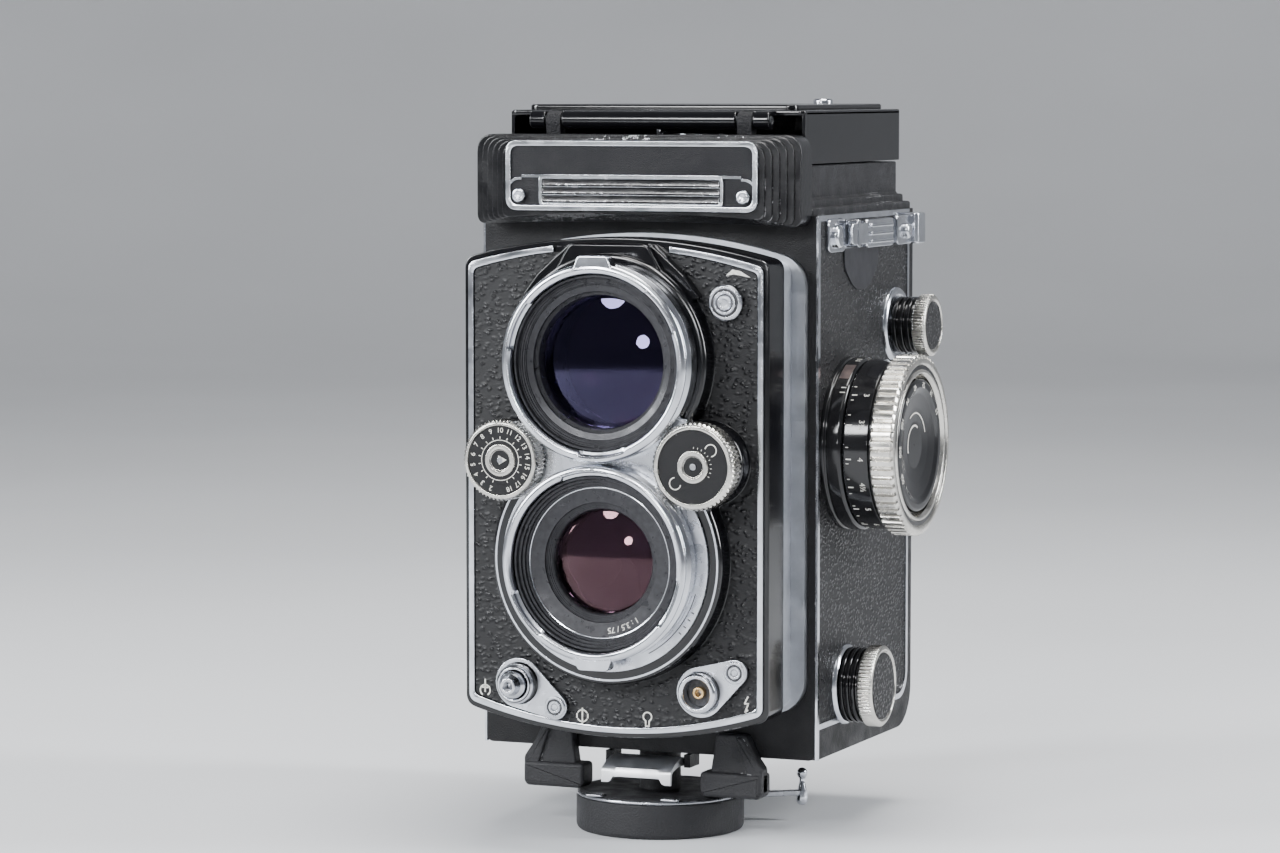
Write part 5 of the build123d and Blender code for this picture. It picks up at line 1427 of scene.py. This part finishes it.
# ---------------------------------------------------------------------------
# Flash socket: a chromed sleeve with a dark bore, an insulating washer and the
# small brass contact tube in its middle.
# ---------------------------------------------------------------------------
socket_axis = (socket_spot.x, 0, socket_spot.z)
turned_piece("flash_socket", [(board_face, 0.05), (board_face, 5.0), (-26.3, 5.0), (-26.3, 4.2),
             (collar_face + 0.5, 4.2), (collar_face, 3.8), (collar_face, 3.3), (collar_face + 0.35, 3.0),
             (-26.6, 3.0), (-26.6, 0.05)],
             "y", socket_axis, chrome, "chrome_plate", "front_standard", "flash_socket", edge=0.12)
turned_piece("socket_washer", [(-26.65, 1.3), (-27.0, 1.3), (-27.0, 2.95), (-26.65, 2.95)], "y", socket_axis,
             ink, "chrome_plate", "front_standard", steps=64, edge=0.05)
turned_piece("socket_collar_paint", [(collar_face + 1.6, 4.18), (collar_face + 1.6, 4.24), (-27.6, 4.24),
             (-27.6, 4.18)], "y", socket_axis, gloss, "chrome_plate", "front_standard", steps=64, edge=0.0)
brass = bare_metal("brass", (0.72, 0.50, 0.24), 0.16, 0.32)
turned_piece("socket_contact", [(-26.7, 0.6), (-26.7, 1.3), (-28.4, 1.3), (-28.6, 1.15), (-28.6, 0.75),
             (-28.3, 0.6)], "y", socket_axis, brass, "chrome_plate", "front_standard", steps=48, edge=0.08)

# ---------------------------------------------------------------------------
# Flash timing switch: a small round chromed button turned in rings, with a stub
# pointer, on a pin through the board.
# ---------------------------------------------------------------------------
sync_axis = (sync_spot.x, 0, sync_spot.z)
turned_piece("sync_lever", [(board_face - 0.2, 0.05), (board_face - 0.2, 1.45), (-26.3, 1.45), (-26.3, 3.5),
             (-26.7, 3.8), (-27.3, 3.75), (-27.6, 3.4), (-27.6, 3.0), (-27.35, 2.85), (-27.35, 2.6),
             (-27.85, 2.4), (-27.85, 2.0), (-27.6, 1.85), (-27.6, 1.6), (-28.15, 1.4), (-28.15, 0.9),
             (-27.95, 0.7), (-28.0, 0.05)], "y", sync_axis, satin_chrome, "steel", "sync_switch",
             "sync_lever",
             edge=0.07)

bm = bmesh.new()
for radius in (0.62, 1.72, 2.72):
    arc_line(bm, sync_axis, -27.5, radius, 0.22, 0.0, 360.0, axis="y", thick=0.13, count=48)
make_piece("sync_lever_rings", bm, ink, "steel", "sync_switch")

# ---------------------------------------------------------------------------
# Front signs: small engraved signs, filled with white, that show where the
# release is locked or free and which plug the socket takes.
# ---------------------------------------------------------------------------
sign_face = board_face - 0.52
bm = bmesh.new()


def sign_arc(x, z, radius, first, last, width=0.28):
    arc_line(bm, (x, 0, z), sign_face, radius, width, first, last, axis="y", thick=0.06)


def sign_bar(x0, z0, x1, z1, width=0.3):
    along = Vector((x1 - x0, z1 - z0)).normalized() * width / 2
    side = Vector((-along.y, along.x))
    points = [Vector((x0, z0)) - side, Vector((x1, z1)) - side, Vector((x1, z1)) + side,
              Vector((x0, z0)) + side]
    outline_block(bm, [tuple(p) for p in points], "y", sign_face - 0.06, sign_face + 0.06, 0.01, 1)


sign_arc(-29.9, 31.6, 1.15, -60.0, 240.0)
sign_bar(-29.9, 31.2, -29.9, 34.0)
sign_bar(-30.6, 32.2, -29.2, 32.2)
sign_arc(-7.3, 27.3, 1.25, 30.0, 150.0)
sign_arc(-7.3, 27.3, 1.25, 210.0, 330.0)
sign_bar(-7.3, 25.6, -7.3, 29.0)
sign_bar(-8.55, 26.8, -8.55, 27.8)
sign_bar(-6.05, 26.8, -6.05, 27.8)
sign_arc(7.6, 27.9, 0.95, -65.0, 245.0)
sign_bar(7.2, 27.1, 7.2, 26.0)
sign_bar(8.0, 27.1, 8.0, 26.0)
sign_bar(7.1, 25.9, 8.1, 25.9)
sign_bar(30.3, 33.4, 29.5, 31.9)
sign_bar(29.4, 31.9, 30.5, 31.9)
sign_bar(30.4, 31.9, 29.6, 30.0)
sign_bar(29.6, 30.0, 30.3, 30.6)
arrow = [(25.2, 121.2), (26.6, 122.5), (28.4, 122.2), (30.6, 120.9), (28.3, 121.3), (27.0, 121.5)]
outline_block(bm, arrow, "y", sign_face - 0.06, sign_face + 0.06, 0.02, 1)
make_piece("front_signs", bm, paint, "leatherette", "front_standard")

# ---------------------------------------------------------------------------
# Scale visor: the black enamelled bridge above the viewing lens, with a slot on
# its upper side through which the exposure scale is read.
# ---------------------------------------------------------------------------
visor_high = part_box("scale_visor")[1].z / mm
bm = bmesh.new()
visor = soften([(-12.4, 121.6), (12.4, 121.6), (8.8, visor_high), (-8.8, visor_high)], [0.4, 0.4, 1.4, 1.4])
outline_block(bm, visor, "y", -29.3, board_face, 0.5, 3)
for side in (-1, 1):
    brow = [(side * 12.4, 121.4), (side * 15.6, 119.0), (side * 18.0, 115.8), (side * 20.2, 116.6),
            (side * 16.8, 121.0), (side * 13.0, 124.4), (side * 9.2, visor_high),
            (side * 8.4, visor_high - 0.8)]
    outline_block(bm, soften(brow, 0.5, steps=2), "y", -28.0, board_face, 0.4, 3)
make_piece("scale_visor", bm, gloss, "gloss_enamel", "front_standard", "scale_visor")
# The visor's window glass takes the same dark tint as the lenses, painted shade.
bm = bmesh.new()
outline_block(bm, box_outline(-8.2, 8.2, -29.0, -26.6, 0.4), "z", visor_high - 0.15, visor_high + 0.04,
              0.05, 1)
make_piece("visor_window", bm, amber, "gloss_enamel", "front_standard")

# ---------------------------------------------------------------------------
# Maker's plate housing: a die-cast front to the viewing hood, stepped at both
# ends like the ribs of a bellows, enamelled and rubbed bright along each step.
# ---------------------------------------------------------------------------
house_low, house_high = (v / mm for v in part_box("nameplate_housing"))
rib_enamel = enamel("rib_enamel", 0.0009, 0.00002, 0.20, 0.34)


def house_outline(half, low, high, corner):
    points = [(half, high), (-half, high), (-half, low)]
    radii = [corner, corner, corner]
    for k in range(1, 16):
        t = -1 + 2 * k / 16
        points.append((half * t, low + 1.0 * (1 - t * t)))
        radii.append(0.0)
    points.append((half, low))
    radii.append(corner)
    return soften(points, radii, steps=6)


plate_ribs = 5
rib_in = 1.44
rib_rise = 0.6
bm = bmesh.new()
for k in range(plate_ribs + 1):
    front = house_low.y + rib_rise * (plate_ribs - k)
    back = house_high.y if k == 0 else front + rib_rise + 0.4
    outline = house_outline(house_high.x - rib_in * k, house_low.z + 0.3 * k, house_high.z - 0.3 * k, 4.0)
    outline_block(bm, outline, "y", front, back, 0.28, 3)
make_piece("nameplate_housing", bm, rib_enamel, "gloss_enamel", "camera_body", "nameplate_housing")

# ---------------------------------------------------------------------------
# Maker's plate: a stamped badge with a bright rim, a grained black field left
# plain, and a louvred window between two screws that hold it to the housing.
# ---------------------------------------------------------------------------
plate_low, plate_high = (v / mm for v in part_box("nameplate"))
plate_front = plate_low.y + 0.6
field_face = plate_high.y - 0.35
plate_half, plate_bottom, plate_top = plate_high.x, plate_low.z, plate_high.z
plate_outer = box_outline(-plate_half, plate_half, plate_bottom, plate_top, 2.8, steps=8)
plate_inner = box_outline(-plate_half + 1.15, plate_half - 1.15, plate_bottom + 1.15, plate_top - 1.15, 1.9,
                          steps=8)
badge_rim = bare_metal("badge_rim", (0.74, 0.76, 0.80), 0.14, 0.30)
bm = cut_sheet("plate_rim", [plate_outer, plate_inner], plate_front, plate_high.y, 0.14)
make_piece("nameplate", bm, badge_rim, "badge", "camera_body", "nameplate")
badge_field = enamel("badge_field", 0.00022, 0.00007, 0.42, 0.0, (0.006, 0.006, 0.008))
bm = bmesh.new()
outline_block(bm, box_outline(-plate_half + 1.0, plate_half - 1.0, plate_bottom + 1.0, plate_top - 1.0, 1.8),
              "y", field_face, plate_high.y + 0.05, 0.04, 1)
make_piece("plate_field", bm, badge_field, "badge", "camera_body")
window_half, window_low, window_high = 20.4, 135.5, 141.0
window_outer = box_outline(-window_half - 0.7, window_half + 0.7, window_low - 0.7, window_high + 0.7, 1.5,
                           steps=6)
window_inner = box_outline(-window_half, window_half, window_low, window_high, 0.9, steps=6)
bm = cut_sheet("window_frame", [window_outer, window_inner], plate_front + 0.05, field_face + 0.05, 0.08)
for side in (-1, 1):
    shoulder = []
    for r, order in ((3.2, 1), (2.6, -1)):
        arc = []
        for k in range(13):
            a = math.radians(100 - 80 * k / 12) if side > 0 else math.radians(80 + 80 * k / 12)
            arc.append((side * (plate_half - 3.2) + r * math.cos(a), plate_bottom + 3.9 + r * math.sin(a)))
        shoulder += arc[::order]
    outline_block(bm, shoulder, "y", plate_front + 0.05, field_face + 0.05, 0.06, 1)
    inner_end = side * (plate_half - 3.7)
    outline_block(bm, box_outline(*sorted((side * window_half, inner_end)), window_high, window_high + 0.65,
                                  0.05),
                  "y", plate_front + 0.05, field_face + 0.05, 0.06, 1)
make_piece("window_frame", bm, badge_rim, "badge", "camera_body")
bm = bmesh.new()
for k in range(3):
    z = window_low + 0.5 + 1.75 * k
    slat = [(field_face - 0.42, z), (field_face - 0.1, z - 0.1), (field_face + 0.02, z + 0.5),
            (field_face + 0.02, z + 1.2), (field_face - 0.25, z + 0.9)]
    rings = []
    for x in (-window_half + 0.2, window_half - 0.2):
        rings.append([bm.verts.new((x, y, h)) for y, h in slat])
    for i in range(len(slat)):
        j = (i + 1) % len(slat)
        bm.faces.new((rings[0][i], rings[0][j], rings[1][j], rings[1][i]))
    bm.faces.new(rings[0])
    bm.faces.new(rings[1][::-1])
make_piece("window_louvres", bm, rib_enamel, "badge", "camera_body")
bm = bmesh.new()
for k in range(4):
    z = window_low + 0.12 + 1.75 * k
    outline_block(bm, box_outline(-window_half + 0.2, window_half - 0.2, z - 0.16, z + 0.16, 0.05), "y",
                  field_face - 0.36, field_face, 0.08, 1)
make_piece("window_bars", bm, badge_rim, "badge", "camera_body")
bm = bmesh.new()
for side in (-1, 1):
    x, z = side * (plate_half - 3.2), plate_bottom + 3.2
    face = plate_low.y
    profile = [(field_face, 0.03), (field_face, 1.5), (face + 0.25, 1.5), (face + 0.05, 1.3), (face, 1.1),
               (face, 0.85), (face + 0.2, 0.75), (face + 0.2, 0.03)]
    spin(bm, soften(profile, 0.05, steps=2), "y", (x, 0, z), 48)
make_piece("plate_screws", bm, chrome, "badge", "camera_body")

# ---------------------------------------------------------------------------
# Hood base: the cast frame round the focusing screen, with two steps and a low
# wall that the folded hood leaves lie behind. Coarse matt enamel, worn edges.
# ---------------------------------------------------------------------------
hood_low, hood_high = (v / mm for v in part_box("hood_base"))
screen_low, screen_high = (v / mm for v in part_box("ground_glass"))
lid_low, lid_high = (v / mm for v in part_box("hood_lid"))
coarse = enamel("coarse_enamel", 0.00040, 0.00020, 0.46, 0.24, (0.014, 0.014, 0.016))
lid_axis_y, lid_axis_z = -5.6, 153.2
wall_half, wall_front, wall_rear, wall_top = 33.9, -5.8, 57.5, 143.6
hood_floor = 136.4


def hood_ring(half, front, rear, z, corner=1.2):
    return box_outline(-half, half, front, rear, corner, steps=4), z


bm = bmesh.new()
hood_front, step_low, step_high = -6.5, 134.5, 136.4
levels = [hood_ring(hood_high.x, hood_front, hood_high.y, hood_low.z + 0.02),
          hood_ring(hood_high.x, hood_front, hood_high.y, step_low),
          hood_ring(hood_high.x - 0.3, -6.2, hood_high.y - 0.3, 134.8),
          hood_ring(35.65, -6.2, hood_high.y - 0.4, 134.85),
          hood_ring(35.6, -6.2, hood_high.y - 0.4, 136.15),
          hood_ring(35.35, -6.0, hood_high.y - 0.7, step_high),
          hood_ring(34.3, wall_front - 0.1, wall_rear, 136.45),
          hood_ring(wall_half, wall_front, wall_rear - 0.05, 136.9),
          hood_ring(wall_half, wall_front, wall_rear - 0.05, wall_top - 0.2),
          hood_ring(wall_half - 0.2, wall_front + 0.2, wall_rear - 0.25, wall_top),
          hood_ring(wall_half - 1.4, wall_front + 1.4, wall_rear - 1.4, wall_top),
          hood_ring(wall_half - 1.6, wall_front + 1.6, wall_rear - 1.6, wall_top - 0.2),
          hood_ring(wall_half - 1.6, wall_front + 1.6, wall_rear - 1.6, hood_floor),
          hood_ring(screen_high.x, screen_low.y, screen_high.y, hood_floor, 0.8),
          hood_ring(screen_high.x, screen_low.y, screen_high.y, hood_low.z + 0.02, 0.8)]
stack_outlines(bm, levels + levels[:1], axis="z", fill_first=False, fill_last=False)
outline_block(bm, box_outline(-wall_half + 0.3, wall_half - 0.3, 137.0, 150.0, 0.7), "y", wall_front + 0.02,
              wall_front + 1.6, 0.2)
for side in (-1, 1):
    x0, x1 = sorted((side * 20.3, side * 23.7))
    lug = soften([(lid_axis_y - 1.9, lid_axis_z - 0.6), (lid_axis_y - 1.3, 149.4), (wall_front + 1.6, 149.4),
                  (lid_axis_y + 1.9, lid_axis_z), (lid_axis_y + 1.2, lid_axis_z + 1.6),
                  (lid_axis_y, lid_axis_z + 2.0),
                  (lid_axis_y - 1.4, lid_axis_z + 1.4)], 0.5, steps=3)
    outline_block(bm, lug, "x", x0, x1, 0.3, 2)
make_piece("hood_base", bm, coarse, "gloss_enamel", "camera_body", "hood_base")

# ---------------------------------------------------------------------------
# Hood lid: a pressed tray with a raised panel, gloss black over bright metal, its
# front edge rolled round the hinge pin.
# ---------------------------------------------------------------------------


def lay_flat(bm):
    """Turns a sheet that looks forward so that it looks up."""
    for vert in bm.verts:
        vert.co = (vert.co.x, vert.co.z, -vert.co.y)
    return bm


lid_half, lid_rear, lid_top = lid_high.x, lid_high.y, lid_axis_z + 2.1
button_spot = centre_of("lid_button")
lid_front = lid_axis_y + 2.9
tray = box_outline(-lid_half, lid_half, lid_front, lid_rear, 1.4, steps=5)
hole = ring_loop(button_spot.x, button_spot.y, 2.45, 48)
bm = lay_flat(cut_sheet("lid_top", [tray, hole], -lid_top, -lid_top + 1.2, 0.35))
panel = box_outline(-lid_half + 3, lid_half - 3, lid_front + 2.5, lid_rear - 3, 2.4, steps=5)
raised = lay_flat(cut_sheet("lid_panel", [panel, hole], -lid_high.z, -lid_top + 0.3, 0.5))
spare = bpy.data.meshes.new("lid_panel")
raised.to_mesh(spare)
raised.free()
bm.from_mesh(spare)
skirt_front, lid_sheet = lid_front + 0.4, 0.8
skirt = [(-lid_half, skirt_front), (-lid_half, lid_rear), (lid_half, lid_rear), (lid_half, skirt_front),
         (lid_half - lid_sheet, skirt_front), (lid_half - lid_sheet, lid_rear - lid_sheet),
         (-lid_half + lid_sheet, lid_rear - lid_sheet), (-lid_half + lid_sheet, skirt_front)]
skirt = soften(skirt, [0.1, 1.4, 1.4, 0.1, 0.1, 0.7, 0.7, 0.1], steps=5)
wall = lay_flat(cut_sheet("lid_skirt", [skirt], -lid_top + 0.35, -lid_low.z, 0.15))
wall.to_mesh(spare)
wall.free()
bm.from_mesh(spare)
bpy.data.meshes.remove(spare)
hinge = (0, lid_axis_y, lid_axis_z)
for x0, x1 in ((-27.5, -24.0), (-20.0, 20.0), (24.0, 27.5)):
    spin(bm, soften([(x0, 1.05), (x0, 1.95), (x1, 1.95), (x1, 1.05)], 0.3), "x", hinge, 48)
    outline_block(bm, soften([(lid_axis_y, lid_top - 1.15), (lid_front + 0.6, lid_top - 1.15),
                              (lid_front + 0.6, lid_top - 0.1), (lid_axis_y, lid_top - 0.18)], 0.1, steps=2),
                  "x", x0 + 0.05, x1 - 0.05, 0.1, 1)
make_piece("hood_lid", bm, gloss, "gloss_enamel", "lid", "hood_lid")

# ---------------------------------------------------------------------------
# Lid catch: a small chromed button in the lid that frees the sports finder flap.
# ---------------------------------------------------------------------------
turned_piece("lid_button", [(lid_high.z - 4.4, 0.05), (lid_high.z - 4.4, 3.0), (lid_high.z - 3.4, 3.0),
             (lid_high.z - 3.4, 2.2), (lid_high.z + 0.7, 2.2), (lid_high.z + 1.1, 1.8),
                            (lid_high.z + 1.2, 0.05)],
             "z", (button_spot.x, button_spot.y, 0), chrome, "chrome_plate", "finder_button", "lid_button",
             steps=64, edge=0.2)

# ---------------------------------------------------------------------------
# Magnifier: a round glass in a turned rim, hung below the lid on two arms, for
# looking closely at the screen.
# ---------------------------------------------------------------------------
glass_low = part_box("magnifier")[0].z / mm
magnifier_y = 30.0
bm = bmesh.new()
rim = soften([(glass_low, 9.1), (glass_low, 10.6), (glass_low + 0.4, 11.0), (glass_low + 1.7, 11.0),
              (glass_low + 2.0, 10.6), (glass_low + 2.0, 9.6), (glass_low + 1.5, 9.1)], 0.15, steps=2)
spin(bm, rim, "z", (0, magnifier_y, 0), 96)
for side in (-1, 1):
    x0, x1 = sorted((side * 10.5, side * 11.6))
    outline_block(bm, box_outline(magnifier_y - 4.0, magnifier_y + 22.0, glass_low + 0.6, lid_top - 1.25,
                                  0.4),
                  "x", x0, x1, 0.2, 2)
make_piece("magnifier", bm, chrome, "gloss_enamel", "lid", "magnifier")
plain_glass, tree, shader = new_finish("plain_glass", (1.0, 1.0, 1.0), roughness=0.0)
shader.inputs["Transmission Weight"].default_value = 1.0
shader.inputs["IOR"].default_value = 1.5
tree.links.new(mottle(tree, 300.0, 0.0, 0.05), shader.inputs["Roughness"])
turned_piece("magnifier_glass", [(glass_low + 0.55, 0.02), (glass_low + 0.75, 4.5), (glass_low + 1.0, 9.15),
             (glass_low + 1.2, 9.15), (glass_low + 1.45, 4.5), (glass_low + 1.65, 0.02)], "z",
             (0, magnifier_y, 0),
             plain_glass, "optical_glass", "lid", steps=64, edge=0.0)

# ---------------------------------------------------------------------------
# Hood leaves: three thin sheet leaves rolled round their pins, which stand up
# with the lid to shade the screen. Matt black inside and out.
# ---------------------------------------------------------------------------
leaf_black = enamel("leaf_black", 0.0002, 0.00001, 0.55, 0.06, (0.006, 0.006, 0.007))
pin_x, pin_z = 31.0, 138.6
leaf_front, leaf_rear = -3.4, 53.2
leaf_reach, leaf_mitre = 30.5, 0.9
leaf_half, bore_r, curl_r = 0.35, 0.56, 1.0
for side, label in ((1, "right"), (-1, "left")):
    tip = pin_x - leaf_reach
    leaf = [(pin_x, leaf_front + 0.8), (pin_x - 10.0, leaf_front + 0.8), (tip, 4.8),
            (tip, leaf_rear - leaf_mitre * leaf_reach),
            (pin_x, leaf_rear)]
    leaf = soften([(side * u, v) for u, v in leaf], [0.0, 1.0, 1.0, 1.0, 0.0], steps=3)
    bm = bmesh.new()
    outline_block(bm, leaf, "z", pin_z - leaf_half, pin_z + leaf_half, 0.1, 1)
    spin(bm, [(leaf_front, bore_r), (leaf_front, curl_r), (leaf_rear, curl_r), (leaf_rear, bore_r)], "y",
         (side * pin_x, 0, pin_z), 32)
    make_piece("hood_leaf_" + label, bm, leaf_black, "gloss_enamel", "hood_side_" + label,
               "side_panel_" + label)
paint_node("rear_panel", leaf_black)

# ---------------------------------------------------------------------------
# Back door: a light alloy pressing that wraps the rear and the base, enamelled
# inside and out, with leather on its back and a sprung plate that flattens film.
# ---------------------------------------------------------------------------
paint_node("back_door", crinkle)

# ---------------------------------------------------------------------------
# Take-up spool: a black core with two thin end discs and a slot for the paper,
# which draws the film up past the gate. It lifts out with each finished roll.
# ---------------------------------------------------------------------------
spool_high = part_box("takeup_spool")[1] / mm
spool_axis = centre_of("takeup_spool")
spool_disc = spool_high.y - spool_axis.y
spool_plastic = enamel("spool_plastic", 0.003, 0.00001, 0.3, 0.03, (0.014, 0.014, 0.015))
end = spool_high.x
core_r = 4.0
turned_piece("takeup_spool", [(-end, 2.15), (-end, spool_disc - 0.2), (-end + 0.3, spool_disc),
             (-end + 0.8, spool_disc), (-end + 1.0, spool_disc - 0.3), (-end + 1.05, core_r + 0.5),
             (-end + 1.6, core_r), (end - 1.6, core_r), (end - 1.05, core_r + 0.5),
             (end - 1.0, spool_disc - 0.3), (end - 0.8, spool_disc), (end - 0.3, spool_disc),
             (end, spool_disc - 0.2), (end, 2.15)], "x", spool_axis, spool_plastic, "spool_black",
             "film_spool",
             "takeup_spool", edge=0.1)

# ---------------------------------------------------------------------------
# Film rollers: two polished steel rods, thinned where the picture runs, that turn
# in the casting above and below the gate and keep the film flat across it.
# ---------------------------------------------------------------------------
for node, body in (("lower_roller", "film_roller_low"), ("upper_roller", "film_roller_high")):
    roller = centre_of(node)
    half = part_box(node)[1].x / mm
    full = (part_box(node)[1].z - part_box(node)[0].z) / mm / 2
    profile = [(-half, 0.03), (-half, 0.78), (-half + 3.0, 0.78), (-half + 3.1, full), (-30.0, full),
               (-29.4, full - 0.25), (29.4, full - 0.25), (30.0, full), (half - 3.1, full),
               (half - 3.0, 0.78),
               (half, 0.78), (half, 0.03)]
    turned_piece(node, profile, "x", roller, chrome, "steel", body, node, steps=48, edge=0.1)

# ---------------------------------------------------------------------------
# Winding crank: a turned hub on the left side with a folding arm and a free
# knob, chromed. Swung out, it winds the film and sets the shutter.
# ---------------------------------------------------------------------------
crank_spot = Vector((0.0, 26.0, 92.0))
crank_turn = Matrix.Rotation(math.radians(-40.0), 4, "X")
hub_low, hub_high = (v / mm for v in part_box("crank_hub"))
hub_face, hub_seat = hub_low.x, -40.1
pivot_x = hub_face + 1.2
hub_r = 7.5


def set_crank(bm):
    bm.transform(Matrix.Translation(crank_spot) @ crank_turn)
    return bm


bm = bmesh.new()
seat = pivot_x + 2.0
spin(bm, soften([(seat, 0.03), (seat, hub_r), (hub_seat - 0.3, hub_r), (hub_seat, hub_r - 0.3),
                 (hub_seat, 2.9),
                 (hub_high.x, 2.9), (hub_high.x, 0.03)], 0.15, steps=2), "x", (0, 0, 0), 96)
for side in (-1, 1):
    start = math.asin(3.5 / hub_r)
    cheek = [(side * hub_r * math.sin(start + (math.pi - 2 * start) * k / 24),
              hub_r * math.cos(start + (math.pi - 2 * start) * k / 24)) for k in range(25)]
    outline_block(bm, soften(cheek, 0.2, steps=2), "x", hub_face, seat + 0.02, 0.35, 3)
make_piece("crank_hub", set_crank(bm), chrome, "chrome_plate", "winding_hub", "crank_hub")
bm = bmesh.new()
arm = []
for k in range(17):
    a = math.pi * k / 16
    arm.append((3.2 * math.cos(a), 17.6 + 3.2 * math.sin(a)))
arm += [(-2.9, 2.0), (-3.1, -0.6), (-2.4, -1.2), (2.4, -1.2), (3.1, -0.6), (2.9, 2.0)]
outline_block(bm, arm, "x", pivot_x - 1.0, pivot_x + 1.0, 0.35, 3)
spin(bm, soften([(pivot_x - 0.9, 0.03), (pivot_x - 0.9, 3.3), (pivot_x + 1.4, 2.0), (pivot_x + 2.2, 2.2),
                 (-41.0, 3.4), (-40.3, 3.0), (-40.2, 0.03)], 0.3, steps=3), "x", (0, 0, 17.6), 64)
make_piece("crank_arm", set_crank(bm), chrome, "chrome_plate", "winding_arm", "crank_arm")
